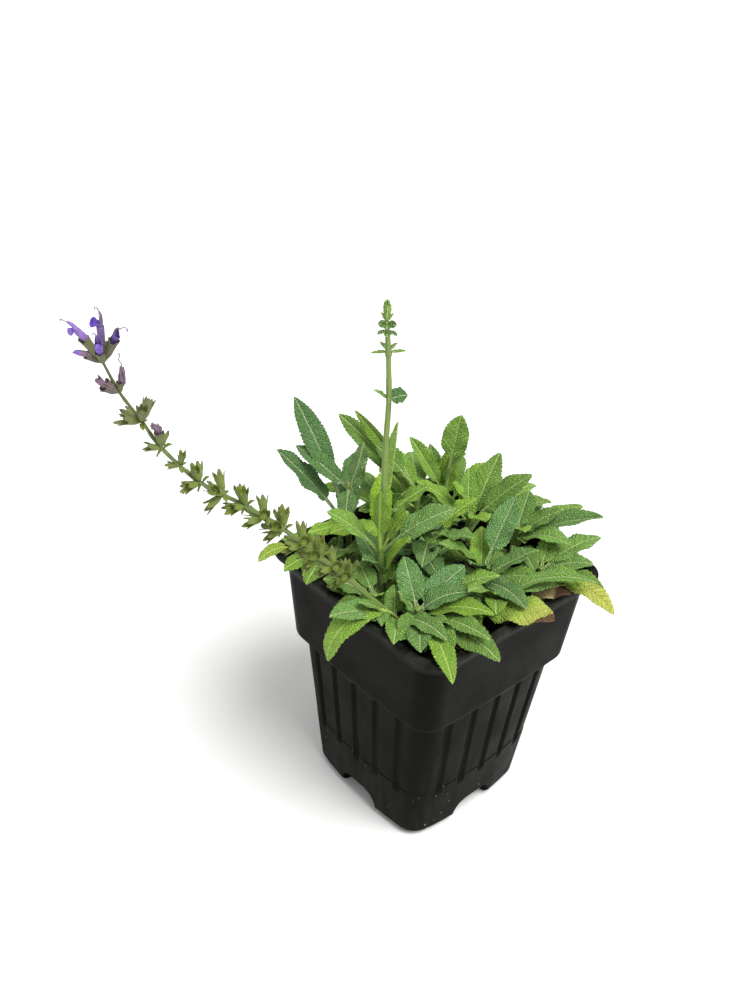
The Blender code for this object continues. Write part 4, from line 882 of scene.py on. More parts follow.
def settle(groups, fixed):
    """Change each leaf as little as clears it of the rest.

    `groups` maps a plant part to its leaves; `fixed` holds (owner, tree) obstacles.
    Leaves of one part may touch near their common foot. Leaves at the front go first.
    """
    placed, chosen = [], {}
    order = [(name, k) for name in groups for k in range(len(groups[name]))]
    order.sort(key=lambda item: 15 * item[1] + GIVE_WAY.get(item[0], 0)
               - FRONT.dot(groups[item[0]][item[1]][1]))
    moves = trials()
    for name, k in order:
        best = None
        for cost, turn, lift, hump in moves:
            if best and cost >= best[0]:
                break
            leaf = moved(groups[name][k], turn, lift, hump)
            points, faces = leaf_block(leaf)
            whole = tree(points, faces)
            if any(owner != name and whole.overlap(other) for owner, other in fixed):
                continue
            if any(owner != name and whole.overlap(other) for owner, other, _ in placed):
                continue
            outer = tree(points, faces[12 * (STALK_ROWS + 1):])
            crossing = sum(len(outer.overlap(other)) for owner, _, other in placed
                           if owner == name)
            if best is None or cost + 4 * crossing < best[0]:
                best = (cost + 4 * crossing, leaf, whole, outer)
        chosen[name, k] = best[1]
        placed.append((name, best[2], best[3]))
    return {name: [chosen[name, k] for k in range(len(rows))]
            for name, rows in groups.items()}


def stem_line(foot, top):
    """Short stem from its hole in the soil to its top."""
    (x, y), (tx, ty, tz) = foot, top
    return np.array([(x, y, SOIL_Z - HOLE_DEPTH + 0.4), (x, y, SOIL_Z + 3),
                     ((x + tx) / 2, (y + ty) / 2, (SOIL_Z + 3 + tz) / 2), (tx, ty, tz)])


def old_post(top):
    """Upright lower part of a lone leaf's stalk."""
    x, y, z = top
    return [(x, y, SOIL_Z - HOLE_DEPTH + 0.4), (x, y, SOIL_Z), (x, y, z + 0.6)]


def point_at_height(line, z):
    """Point of a rising line at a height, or its end nearest to it."""
    height = np.clip(z, line[0, 2], line[-1, 2])
    k = int(np.argmin(np.abs(line[:, 2] - height)))
    lower = k if line[k, 2] <= height or k == 0 else k - 1
    upper = min(lower + 1, len(line) - 1)
    span = line[upper, 2] - line[lower, 2]
    t = 0.0 if span <= 0 else (height - line[lower, 2]) / span
    return tuple(line[lower] + t * (line[upper] - line[lower]))


def steepness(row):
    """How steeply a leaf's tip stands over the soil, which sets its place on the stem."""
    x, y, z = row[1]
    return (z - SOIL_Z) / (1 + math.hypot(x, y) * 0.2)


def rooted(line, radius, rows):
    """Leaves with their feet on the stem, a little off its axis toward the tip.

    Leaves without a height are shared out along the stem, the steepest at the top.
    """
    top = line[-1][2]
    free = sorted((row for row in rows if row[0] == 0), key=steepness, reverse=True)
    step = min(2.3, (top - SOIL_Z - 5.0) / max(len(free), 1))
    leaves = []
    for row in rows:
        z, tip, *rest = row
        foot = Vector(point_at_height(line, z or top - 0.8 - step * free.index(row)))
        out = Vector((tip[0] - foot.x, tip[1] - foot.y, 0)).normalized()
        leaves.append((tuple(foot + out * radius * 0.5), tip, *rest))
    return leaves


STEM_LINES = {name: stem_line(foot, top) for name, (foot, top, _, _) in SHOOTS.items()}
STEM_RADII = {name: np.linspace(radius, radius * 0.8, 4) for name, (_, _, radius, _) in SHOOTS.items()}
STEM_LINES["upright_stem"] = np.array(UPRIGHT_PATH, float)
STEM_RADII["upright_stem"] = np.linspace(1.75, 0.85, len(UPRIGHT_PATH))
STEM_LINES["arching_stem"] = np.array(ARCH_PATH, float)
STEM_RADII["arching_stem"] = np.linspace(1.7, 0.75, len(ARCH_PATH))


def calyx_places():
    """Foot and mouth of every calyx: those of the whorls, then those that hold a flower."""
    places = []
    for centre, count, length, bearing in CLUSTERS:
        foot, tangent = nearest_on(STEM_LINES["arching_stem"], np.array(centre, float))
        places += [(foot, mouth) for mouth in cluster_mouths(foot, tangent, count, length, bearing)]
    return places + [(np.array(row[0], float), np.array(row[1], float)) for row in FLOWERS]


def settled_leaves():
    """Every leaf at its final place, by plant part."""
    groups = {name: [row] for name, row in OLD_LEAVES.items()}
    groups |= {"upright_stem": rooted(STEM_LINES["upright_stem"], 1.2, UPRIGHT_LEAVES),
               "arching_stem": rooted(STEM_LINES["arching_stem"], 1.4, ARCH_LEAVES)}
    for name, (_, _, _, rows) in SHOOTS.items():
        groups[name] = rooted(STEM_LINES[name], STEM_RADII[name][-1], rows)
    fixed = [(name, tube(line, STEM_RADII[name] + STEM_SPARE)) for name, line in STEM_LINES.items()]
    fixed += [("arching_stem", calyx_block(*place)) for place in calyx_places()]
    for name, row in OLD_LEAVES.items():
        fixed.append((name, tube(old_post(row[0]), [1.4] * 3)))
    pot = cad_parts["pot"].data
    fixed.append(("pot", tree([v.co / MM for v in pot.vertices],
                              [tuple(p.vertices) for p in pot.polygons])))
    ground = SOIL_Z + GROUND_CLEAR
    fixed.append(("soil", tree([(-60, -60, ground), (60, -60, ground), (60, 60, ground),
                                (-60, 60, ground)], [(0, 1, 2, 3)])))
    return settle(groups, fixed)


LEAVES = settled_leaves()


# Leaves of the shoots. Sage leaves are thin, puckered between their side veins and softly
# hairy, grey-green when grown and bright yellow-green when young, with round teeth all
# along the edge; each grows on a channelled stalk from its shoot.

ACROSS = np.array([-1, -0.93, -0.8, -0.62, -0.42, -0.22, -0.07, 0,
                   0.07, 0.22, 0.42, 0.62, 0.8, 0.93, 1])
# Length of a tooth and of a row of faces, lean and curve of the side veins, half width of a
# vein and of the midrib.
TOOTH, ROW_LENGTH, VEIN_LEAN, VEIN_CURVE, VEIN_HALF, RIB_HALF = 1.9, 0.5, 0.75, 0.03, 0.42, 0.6
# Rise of the puckers, height and length of the cobbles between them, sway of the edge,
# thickness of the blade, drop of the keel under it, and cells of the vein net to a metre.
PUCKER, COBBLE, COBBLE_LONG, SWAY = 0.3, 0.15, 1.9, 0.55
BLADE_THICK, KEEL, VEIN_NET = 0.3, 0.85, 1000.0


def cut_hole(shape, mask, columns):
    """Takes the masked cells out of both faces of a leaf skin and walls the gap round.

    The mask is (rows - 1, columns - 1). Walls stand between the two faces wherever a masked
    cell meets an unmasked one, and look toward the middle of the hole.
    """
    ring = 2 * columns - 2
    rows = mask.shape[0] + 1
    grid = np.zeros((rows - 1, ring), bool)
    grid[:, :columns - 1] = mask
    grid[:, columns - 1:] = mask[:, ::-1]
    quads = shape["quads"][~grid.ravel()]
    number = np.arange(rows * ring).reshape(rows, ring)
    top = number[:, :columns]
    low = np.concatenate([number[:, :1], number[:, :columns - 1:-1], number[:, columns - 1:columns]], 1)
    padded = np.pad(mask, 1)
    r, c = np.nonzero(padded[1:, 1:-1] != padded[:-1, 1:-1])
    walls = [np.stack([top[r, c], top[r, c + 1], low[r, c + 1], low[r, c]], -1)]
    r, c = np.nonzero(padded[1:-1, 1:] != padded[1:-1, :-1])
    walls.append(np.stack([top[r, c], top[r + 1, c], low[r + 1, c], low[r, c]], -1))
    walls = np.concatenate(walls)
    at = shape["points"]
    middle = at[walls].mean((0, 1))
    facing = np.cross(at[walls[:, 1]] - at[walls[:, 0]], at[walls[:, 3]] - at[walls[:, 0]])
    turned = np.einsum("ij,ij->i", facing, middle - at[walls].mean(1)) < 0
    walls[turned] = walls[turned][:, ::-1]
    shape["quads"] = np.concatenate([quads, walls])
    return shape


def channels(*values):
    """Marks of four channels, each a number or a grid."""
    return np.stack(np.broadcast_arrays(*values), -1)


def leaf_skin(leaf, seed, age=0.8, yellow=0.0, brown=0.0, teeth=1.0, hole=None):
    """Leaf as one closed skin: upper face, lower face and a stalk, (rows, 28 points round).

    The edge is the half width pushed out and in by |sin| scallops, and drawn in toward the
    tip by 1 - keenness * b^8, b being the way along the blade. The upper face stands
    off the leaf's middle surface by puckers between the side veins, less a groove along
    each vein and the midrib; the lower face lies a blade's thickness under it, with the
    midrib as a keel. Side veins run where (way along - lean * x - curve * x^2) / pitch is
    whole, x being the way out from the midrib.
    """
    foot, tip, _, width, stalk = leaf[:5]
    rng = np.random.default_rng(seed)
    length = math.dist(foot, tip)
    blade = length * (1 - stalk)
    s = np.concatenate([np.linspace(0, stalk, 3 + int(length * stalk / 3), endpoint=False),
                        stalk + (1 - stalk) * np.linspace(0, 1, int(np.clip(blade / ROW_LENGTH, 16, 110)))])
    b = np.clip((s - stalk) / (1 - stalk), 0, 1)[:, None]
    u = np.broadcast_to(ACROSS, (len(s), len(ACROSS)))
    small = min(max(width / 11, 0.3), 1.0)
    least = np.where(b < 0.5, 0.85 * small + 0.1, 0.2)
    half = blade_half(leaf, s[:, None], least)
    count = max(round(blade / TOOTH), 3)
    turn = math.pi * count * b + np.where(u > 0, 0.9, 0.0)
    depth = teeth * small * (1 + 0.35 * np.sin(turn * 0.37 + seed))
    nibble = depth * (np.abs(np.sin(turn)) ** 0.6 - 0.62) * b ** 0.3 * (1 - b) ** 0.2
    keen = 1 - (0.45 + 0.12 * math.sin(seed)) * b ** 8
    out = u * keen * (1 + np.clip(nibble / half, -0.3, 0.3) * np.abs(u) ** 3)
    points, normal = leaf_surface(leaf, s, out, least)
    x = np.abs(half * out)
    pitch = float(np.clip(0.24 * width, 1.6, 4.0))
    vein_way = (b * blade - VEIN_LEAN * x - VEIN_CURVE * x ** 2) / pitch + 0.5 * (u > 0)
    off = np.abs(vein_way - np.round(vein_way)) * pitch
    vein = np.exp(-(off / VEIN_HALF) ** 2) * eased(0.0, 0.1, b)
    rib = np.exp(-(x / (RIB_HALF * small)) ** 2)
    rugged = small * (0.35 + 0.65 * age)
    pucker = PUCKER * (1 - vein) * eased(0.0, 0.3, np.abs(u)) * eased(0.0, 0.08, b)
    cobble = (COBBLE * np.sin(2 * math.pi * 2.5 * vein_way)
              * np.sin(2 * math.pi * x / COBBLE_LONG + seed))
    sway = lumps(b * blade, u * 0.4 + 7.3, 6.5, seed) * SWAY * np.abs(u) ** 1.5
    top = 0.14 + rugged * (pucker + cobble * (b > 0) - 0.28 * rib) + small * (
        sway - 0.45 * np.abs(u) ** 6)
    round_under = np.sqrt(np.clip(1 - u ** 2, 0, 1))
    deep = (BLADE_THICK * np.clip(1 - np.abs(u) ** 6, 0, 1) ** 0.5
            + small * rib * (KEEL - 0.7 * b)
            + 0.13 * small * vein)
    on_blade = eased(0.0, 0.1, b)
    top = top * on_blade + (0.35 * round_under - 0.3 * rib) * small * (1 - on_blade)
    deep = (deep * on_blade + 1.15 * small * round_under * (1 - on_blade)) * (np.abs(u) < 1)
    upper = points + normal[:, None, :] * top[..., None]
    under = points + normal[:, None, :] * (top - deep)[..., None]

    def round_ring(above, below):
        """Both faces as one ring of points, each edge shared."""
        return np.concatenate([above, below[:, -2:0:-1]], axis=1)

    yellow, brown = (mask(b, u) if callable(mask) else mask for mask in (yellow, brown))
    tint = [channels(age + 0 * u, yellow, brown, face) for face in (1.0, 0.0)]
    form = channels(b, np.abs(u), np.where(b > 0, 0.0, 1.0), rng.uniform())
    way = np.stack([half * out / 10, vein_way], -1)
    shape = skin(round_ring(upper, under), tint=round_ring(*tint), form=round_ring(form, form),
                 blade=round_ring(way, way))
    if hole:
        at, aside, long, wide = hole
        middle_s = (s[1:] + s[:-1])[:, None] / 2
        far = np.hypot((middle_s - stalk - at * (1 - stalk)) * length / long,
                       ((ACROSS[1:] + ACROSS[:-1]) / 2 - aside) * half[1:] / wide)
        mask = far < 1 + 0.25 * np.sin(9 * ACROSS[1:] + seed)
        mask[:, [0, -1]] = False
        shape = cut_hole(shape, mask, len(ACROSS))
    return shape


def vein_group():
    """Masks of the midrib, side veins and net of a leaf, and the height they give it."""
    group = bpy.data.node_groups.new("leaf_veins", "ShaderNodeTree")
    for name in ("Rib", "Side veins", "Net", "Height"):
        group.interface.new_socket(name, in_out="OUTPUT", socket_type="NodeSocketFloat")
    way = add(group, "SeparateXYZ", (0, add(group, "UVMap", uv_map="blade").outputs[0]))
    x = times(group, math_of(group, "ABSOLUTE", way.outputs[0]), 10.0)
    rib = step_of(group, x, 0.62, 0.22)
    part = math_of(group, "FRACT", plus(group, way.outputs[1], 0.5))
    off = math_of(group, "ABSOLUTE", math_of(group, "SUBTRACT", part, 0.5))
    side = times(group, step_of(group, off, 0.13, 0.03), step_of(group, x, 0.2, 0.8))
    cell = add(group, "TexVoronoi", ("Vector", object_place(group)), ("Scale", VEIN_NET),
               feature="DISTANCE_TO_EDGE").outputs[0]
    sunk = plus(group, times(group, side, 0.8), times(group, rib, 0.6))
    height = math_of(group, "SUBTRACT", step_of(group, cell, 0.0, 0.5), sunk)
    ends = group.nodes.new("NodeGroupOutput")
    for socket, value in zip(ends.inputs, (rib, side, step_of(group, cell, 0.22, 0.02), height)):
        group.links.new(value, socket)
    return group


VEINS = vein_group()


def leaf_finish():
    """Sage leaf: age turns it from yellow-green to grey-green, veins are paler, the creases of the net
    between the puckers are darkened as painted shade, and old parts go yellow and then brown from the mask
    painted on each leaf."""
    made, tree, shader = finish("sage_leaf", 0.62, Specular_IOR_Level=0.3, Sheen_Weight=0.03,
                                Sheen_Roughness=0.6)
    place = object_place(tree)
    age, yellow, brown, face = painted(tree)
    _, _, stalk, chance = painted(tree, "form")
    rib, side, net, height = add(tree, "Group", node_tree=VEINS).outputs[:4]
    cloud = noise_of(tree, place, 140.0, 3.0)
    young = colour_between(tree, cloud, (0.26, 0.52, 0.004), (0.54, 0.8, 0.07))
    grown = colour_between(tree, cloud, (0.085, 0.26, 0.052), (0.34, 0.6, 0.245))
    upper = colour_between(tree, age, young, grown)
    pale = colour_between(tree, age, (0.36, 0.6, 0.06), (0.33, 0.52, 0.18))
    tone = plus(tree, 0.88, times(tree, chance, 0.6))
    grey = add(tree, "CombineColor", (0, tone), (1, tone), (2, tone)).outputs[0]
    colour = colour_between(tree, 1.0, colour_between(tree, face, pale, upper), grey, "MULTIPLY")
    # Painted shade: the creases of the net between the puckers are darkened to a deep green.
    colour = colour_between(tree, times(tree, net, 0.72), colour, (0.028, 0.115, 0.001))
    vein_colour = colour_between(tree, age, (0.52, 0.72, 0.11), (0.52, 0.68, 0.33))
    seen = math_of(tree, "MAXIMUM", times(tree, rib, 0.85), times(tree, side, 0.35))
    seen = math_of(tree, "MAXIMUM", seen, times(tree, stalk, 0.75))
    colour = colour_between(tree, seen, colour, vein_colour)
    turned = colour_between(tree, net, (0.64, 0.64, 0.13), (0.48, 0.56, 0.09))
    colour = colour_between(tree, yellow, colour, turned)
    ragged = math_of(tree, "SUBTRACT", noise_of(tree, place, 320.0, 4.0), 0.5)
    rust = step_of(tree, plus(tree, brown, times(tree, ragged, 0.5)), 0.42, 0.58)
    rust = times(tree, rust, step_of(tree, brown, 0.0, 0.2))
    dead = colour_between(tree, noise_of(tree, place, 260.0, 4.0), (0.07, 0.032, 0.014),
                          (0.23, 0.125, 0.055))
    colour = colour_between(tree, rust, colour, dead)
    tree.links.new(step_of(tree, noise_of(tree, place, 500.0), 0.3, 0.7, 0.52, 0.72),
                   shader.inputs["Roughness"])
    rugged = times(tree, height, step_of(tree, age, 0.0, 1.0, 0.6, 1.0))
    down = times(tree, noise_of(tree, place, 3500.0, 2.0), 0.2)
    surface(tree, shader, colour, plus(tree, rugged, down), 1.0, 0.0012)
    return made


SAGE_LEAF = leaf_finish()

# Age of leaves whose colour is told apart: 0 is bright yellow-green, 1 a greyish green.
AGES = {"shoot_left_tall": [1.0, 0.95, 1.0, 1.0, 0.9, 0.9, 1.0],
        "upright_stem": [0.45, 0.75, 0.1, 0.1, 0.05, 0.15, 0.8, 0.9, 0.4, 0.6, 0.4, 1.0],
        "arching_stem": [0.75, 0.7, 0.6, 0.5, 0.22, 0.6],
        "shoot_back_right": [0.5, 0.5, 0.45, 0.25, 0.4, 0.3, 0.3],
        "shoot_back": [0.5, 0.4, 0.6, 0.2, 0.5, 0.3],
        "shoot_back_left": [0.5, 0.3, 0.5, 0.4, 0.2],
        "shoot_centre": [0.95, 0.85, 0.55, 0.5, 0.7, 0.75, 0.3, 0.4],
        "shoot_middle": [0.8, 0.95, 0.8, 0.6, 0.15, 0.9, 0.9, 0.6],
        "shoot_front": [1.0, 0.9, 0.55, 0.25, 0.15, 0.5, 0.6, 0.9, 0.5],
        "shoot_front_middle": [0.3, 0.45, 0.9, 1.0, 0.85, 0.8],
        "shoot_front_left": [0.5, 0.6, 0.4, 0.6, 0.4],
        "shoot_left_front": [0.2, 0.35, 0.3, 0.4],
        "shoot_left_inner": [0.35, 0.2, 0.4, 0.2, 0.3, 0.2],
        "shoot_right_edge": [0.7, 0.4, 0.6, 0.5, 0.2],
        "shoot_right": [0.8, 0.7, 0.6, 0.5, 0.6, 0.6, 0.3]}
# Holes that insects ate: leaf, then way along, way across, length and breadth of the hole.
HOLES = {("shoot_middle", 0): (0.62, -0.35, 2.4, 1.5), ("shoot_middle", 1): (0.35, 0.45, 1.6, 1.1),
         ("shoot_right", 3): (0.55, 0.4, 2.6, 1.4), ("shoot_front", 2): (0.3, -0.4, 1.7, 1.6)}
# Leaves that are brown along their edge.
SCORCHED = {("shoot_middle", 0), ("shoot_front", 2), ("shoot_front_left", 0),
            ("shoot_right", 0), ("shoot_right_edge", 2)}


# Tips of the small young leaves low on each shoot, which half cover the soil.
LOW_LEAVES = {
    "shoot_front": [(47, -55, 138), (13, -34, 131), (50, -39, 134), (34, -24, 133), (36, -56, 138),
                    (56, -45, 138), (57, -27, 138), (44, -49, 133)],
    "shoot_right_front": [(50, -12, 134), (27, -3, 131), (46, 12, 132), (40, -20, 133)],
    "shoot_centre": [(6, 11, 131), (24, 25, 132), (8, -1, 133)],
    "shoot_back": [(-18, 33, 132), (-36, 22, 133), (-44, 36, 134), (-41, 33, 139)],
    "shoot_back_right": [(-22, 22, 132), (2, 26, 132), (-13, 24, 141)],
    "shoot_front_left": [(-8, -30, 131), (-10, -41, 131), (20, -52, 133), (11, -30, 133),
                         (24, -56, 138)],
    "shoot_front_middle": [(12, -27, 131), (29, -21, 132), (2, -19, 132)],
    "shoot_left_inner": [(-36, 7, 133), (-16, -12, 132), (-44, -6, 134), (-18, 4, 133)],
    "shoot_left_front": [(-31, -21, 131), (-17, -30, 131), (-45, -38, 133), (-45, -26, 134),
                         (-40, -27, 138)],
    "shoot_middle": [(-7, 17, 132), (-22, 12, 132), (-2, -9, 132)],
    "shoot_right": [(8, 31, 132), (24, 46, 133), (12, 52, 137), (22, 38, 141)],
    "shoot_far_left": [(-46, -6, 133), (-34, 12, 133), (-52, 4, 137), (-48, -8, 141)],
    "shoot_right_edge": [(23, 33, 132), (42, 21, 133), (46, 42, 133)],
    "shoot_back_left": [(-20, 19, 132), (-43, 22, 134), (-34, 29, 143), (-41, 14, 142)]}


def low_leaf(name, tip, seed):
    """Skin of one small leaf from the shoot's stem, a little under its tip, out to the tip."""
    rng = np.random.default_rng(seed)
    foot = point_at_height(STEM_LINES[name], max(tip[2] - 4.0, 126.0))
    reach = math.dist(foot, tip)
    leaf = (tuple(foot), tip, rng.uniform(15, 40), 1.5 + 0.38 * reach, 0.25, 16,
            rng.uniform(-25, 25), 0.6)
    return leaf_skin(leaf, seed, rng.uniform(0.1, 0.8))


def edge_scorch(b, u):
    """Brown along the very edge of the outer half of the blade."""
    return 0.75 * eased(0.9, 1.0, np.abs(u)) * eased(0.3, 0.6, b)


def leaves_of(name):
    """Skins of all the leaves of one plant part, joined."""
    skins = []
    for k, leaf in enumerate(LEAVES[name]):
        seed = 31 * k + sum(map(ord, name))
        told = dict(enumerate(AGES.get(name, ())))
        grown = 0.2 + 0.6 * np.random.default_rng(seed).uniform()
        skins.append(leaf_skin(leaf, seed, told.get(k, grown),
                               brown=edge_scorch if (name, k) in SCORCHED else 0.0,
                               hole=HOLES.get((name, k))))
    skins += [low_leaf(name, tip, 700 + k) for k, tip in enumerate(LOW_LEAVES.get(name, ()))]
    return joined(skins)


for name in SHOOTS:
    piece(name.replace("shoot", "leaves"), leaves_of(name), SAGE_LEAF, "leaf", name)


# Stems of the shoots. Young sage stems are square with rounded edges and a shallow
# channel down each face, pale green and downy; each is rooted in the soil.

def stem_frames(line, above):
    """Direction along a line at each point, with two directions across it."""
    along = np.gradient(line, axis=0)
    along /= np.linalg.norm(along, axis=1)[:, None]
    across = np.cross(along, above)
    across /= np.linalg.norm(across, axis=1)[:, None]
    return along, across, np.cross(across, along)


# Corners and channels of a square stem and the swelling at its joints, as shares of its
# radius, and how far along a swelling reaches.
CORNER_SHARE, CHANNEL_SHARE, JOINT_SHARE, JOINT_REACH = 0.08, 0.05, 0.22, 1.6


def stretched(values, count):
    """Values spread evenly over so many rows."""
    return np.interp(np.linspace(0, 1, count), np.linspace(0, 1, len(values)), values)


def bearings(count):
    """So many angles round a circle."""
    return np.linspace(0, 2 * math.pi, count, endpoint=False)


def stem_skin(path, radii, joints=(), tinge=0.0):
    """Square stem: r = radius * (1 + corner * cos 4a - channel * cos 8a) along a smooth line.

    It swells by a fifth round each joint, given as a share of its length.
    """
    line = smooth_line(path, 8)
    way = np.linspace(0, 1, len(line))
    radius = stretched(radii, len(line))
    run = np.linalg.norm(line[-1] - line[0])
    for joint in joints:
        radius = radius * (1 + JOINT_SHARE * np.exp(-((way - joint) * run / JOINT_REACH) ** 2))
    _, across, up = stem_frames(line, FRONT)
    a = bearings(24)
    r = radius[:, None] * (1 + CORNER_SHARE * np.cos(4 * a) - CHANNEL_SHARE * np.cos(8 * a))
    tint = channels(way[:, None], tinge * way[:, None], np.cos(4 * a) * 0.5 + 0.5, 1.0)
    return skin(around(line, across, up, r * np.cos(a), r * np.sin(a)), tint=tint)


def outward(shape):
    """Normal at each point: the sum of the normals of the faces round it, made unit."""
    points, normals = shape["points"], np.zeros_like(shape["points"])
    for faces in (shape["quads"], shape["tris"]):
        facing = np.cross(points[faces[:, 1]] - points[faces[:, 0]],
                          points[faces[:, -1]] - points[faces[:, 0]])
        for column in faces.T:
            np.add.at(normals, column, facing)
    return normals / np.maximum(np.linalg.norm(normals, axis=1), 1e-9)[:, None]


HAIR_RADIUS = 0.028


def down_of(shape, count, length, seed):
    """Fine hairs on a skin: three-sided spikes, 0.05 mm thick, leaning a little at random."""
    rng = np.random.default_rng(seed)
    quads = shape["quads"]
    face = quads[rng.integers(0, len(quads), count)]
    mix = rng.dirichlet([1, 1, 1, 1], count)
    normals = outward(shape)
    root = np.einsum("nk,nkc->nc", mix, shape["points"][face])
    way = np.einsum("nk,nkc->nc", mix, normals[face]) + rng.normal(0, 0.25, (count, 3))
    way /= np.linalg.norm(way, axis=1)[:, None]
    across = np.cross(way, rng.normal(size=(count, 3)))
    across /= np.linalg.norm(across, axis=1)[:, None]
    other = np.cross(way, across)
    tall = length * rng.uniform(0.5, 1.2, (count, 1))
    ring = [root - way * 0.05 + HAIR_RADIUS * (math.cos(a) * across + math.sin(a) * other)
            for a in (0.0, 2.094, 4.189)]
    points = np.stack(ring + [root + way * tall], 1).reshape(-1, 3)
    start = 4 * np.arange(count)[:, None]
    tris = np.concatenate([start + k for k in ([0, 1, 3], [1, 2, 3], [2, 0, 3], [2, 1, 0])])
    return {"points": points, "quads": np.zeros((0, 4), int), "tris": tris}


def stem_finish():
    """Pale green stem, lighter along its four edges and browner where it is tinged."""
    made, tree, shader = finish("sage_stem", 0.55, Sheen_Weight=0.15)
    place = object_place(tree)
    _, tinge, edge, _ = painted(tree)
    cloud = noise_of(tree, place, 220.0, 4.0)
    colour = colour_between(tree, cloud, (0.09, 0.165, 0.014), (0.185, 0.285, 0.044))
    colour = colour_between(tree, times(tree, edge, 0.45), colour, (0.25, 0.35, 0.095))
    brown = times(tree, tinge, step_of(tree, cloud, 0.15, 0.6))
    colour = colour_between(tree, brown, colour, (0.075, 0.078, 0.03))
    surface(tree, shader, colour, noise_of(tree, place, 1600.0, 3.0), 0.4, 0.0002)
    return made


def down_finish():
    """Whitish plant hair."""
    made, tree, shader = finish("plant_down", 0.6)
    cloud = noise_of(tree, object_place(tree), 300.0)
    surface(tree, shader, colour_between(tree, cloud, (0.42, 0.5, 0.3), (0.62, 0.68, 0.52)))
    return made


SAGE_STEM = stem_finish()
DOWN = down_finish()
for name in SHOOTS:
    shape = stem_skin(STEM_LINES[name], STEM_RADII[name], (1.0,))
    piece(name.replace("shoot", "stem"), shape, SAGE_STEM, "leaf", name)


# Upright flowering stem. The tallest stem, square and downy, with a leafy joint above the
# bush, a small pair of leaves half way up and a budding tip of scale leaves in crossed
# pairs; its foot is rooted in the soil.

upright = stem_skin(UPRIGHT_PATH, STEM_RADII["upright_stem"], (0.1, 0.26, 0.76, 0.9))
piece("upright_stalk", upright, SAGE_STEM, "leaf", "upright_stem")
piece("upright_down", down_of(upright, 2600, 0.55, 41), DOWN, "leaf", "upright_stem")
piece("upright_leaves", leaves_of("upright_stem"), SAGE_LEAF, "leaf", "upright_stem")

SIDEWARD = np.array([0.682, 0.731, 0.0])
# Scale leaves of the tip: height of the joint, whether the pair stands across the view,
# reach sideways, rise, droop, width and fold of each, and its turn toward the view.
SCALES = [(249.6, True, 3.4, 3.4, -14, 3.0, 20, 50),
          (257.3, True, 3.9, -1.4, 40, 3.2, 10, 50), (257.1, False, 3.0, -1.0, 46, 3.0, 14, 0),
          (259.9, True, 3.7, 0.4, 34, 5.0, 10, 60), (260.0, False, 2.8, -0.6, 60, 5.4, 16, 0),
          (262.4, True, 2.4, 3.0, -30, 1.9, 22, 45), (262.8, False, 2.0, 3.0, -30, 2.2, 22, 0),
          (263.2, True, 1.3, 5.4, -26, 3.3, 34, 30), (263.6, False, 1.0, 5.2, -26, 3.3, 34, 0),
          (266.0, True, 0.15, 4.8, -14, 2.7, 36, 20)]


def stepped(root, *steps):
    """Grid of points: a root moved by each (amount, direction) in turn."""
    for amount, direction in steps:
        root = root + amount[..., None] * direction
    return root


def bud_skin(foot, tip, radius, tint, ribs=7):
    """Plump bud: rings of radius * sin(pi s)^0.6, drawn to a point, along a straight line."""
    foot, tip = np.array(foot, float), np.array(tip, float)
    _, across, up = frame_of(tip - foot)
    s = np.linspace(0.02, 0.98, 9)[:, None]
    a = bearings(14)
    r = radius * np.sin(math.pi * s ** 0.85) ** 0.6 * (1 + 0.06 * np.cos(ribs * a))
    return skin(stepped(foot, (s, tip - foot), (r * np.cos(a), across), (r * np.sin(a), up)),
                tint=tint)


def spike_leaves():
    """The scale leaves of the tip, in pairs that cross one another."""
    base = np.array(UPRIGHT_PATH[-2], float)
    lean = np.array([-1.5, -1.5, 22.0]) / 22.0
    skins = []
    for k, (z, sideways, reach, rise, droop, width, fold, turn) in enumerate(SCALES):
        middle = base + lean * (z - base[2])
        for way in (1, -1):
            side = (SIDEWARD if sideways else TOWARD) * way
            foot, tip = middle + side * 0.6, middle + side * reach + (0, 0, rise)
            leaf = (tuple(foot), tuple(tip), droop, width, 0.04, fold, turn * way, 0.1)
            skins.append(leaf_skin(leaf, 200 + 2 * k + way, 0.8 if z < 262 else 0.45, teeth=0.0))
    return joined(skins)


def spike_core():
    """Stem of the tip, flared at the joint of the lowest pair, with its bud on top."""
    base = np.array(UPRIGHT_PATH[-2], float)
    lean = np.array([-1.5, -1.5, 21.0]) / 21.0
    at = [base + lean * (z - base[2]) for z in (245.5, 251.5, 256, 261, 262, 270.4)]
    tint = (0.9, 0.15, 0.5, 1)
    neck = stem_skin([at[2] + (at[3] - at[2]) * k / 3 for k in range(4)], [0.75, 0.8, 0.85, 0.8])
    return joined([neck, bud_skin(at[0], at[1], 1.4, tint, 4), bud_skin(at[4], at[5], 1.2, tint)])


piece("spike_leaves", spike_leaves(), SAGE_LEAF, "leaf", "upright_stem")
piece("spike_core", spike_core(), SAGE_STEM, "leaf", "upright_stem")


# Arching flower stem. An older stem that has lain out over the rim toward the light; its
# flowers have mostly dropped and left whorls of two-lipped, ribbed, papery calyces, with
# a pair of tiny pointed bracts under each whorl.

whorl_shares = np.linspace(0.36, 0.95, 12)
arch_radii = STEM_RADII["arching_stem"] * np.linspace(0.95, 0.62, len(ARCH_PATH))
arch = stem_skin(ARCH_PATH, arch_radii, (0.08, *whorl_shares), 1.0)
piece("arching_stalk", arch, SAGE_STEM, "leaf", "arching_stem")
piece("arching_leaves", leaves_of("arching_stem"), SAGE_LEAF, "leaf", "arching_stem")


# Ribs of a calyx, radius at its foot, thickness of its wall and how far it may bend aside.
CALYX_RIBS, CALYX_FOOT, CALYX_WALL, CALYX_BEND = 13, 0.42, 0.2, 0.35
# Teeth of a calyx: bearing of the middle, height and half breadth as an angle.
CALYX_TEETH = ((-2.1, 1.0, 0.6), (-1.04, 1.0, 0.6), (0.62, 0.8, 0.52), (1.57, 0.75, 0.48),
               (2.52, 0.8, 0.52))


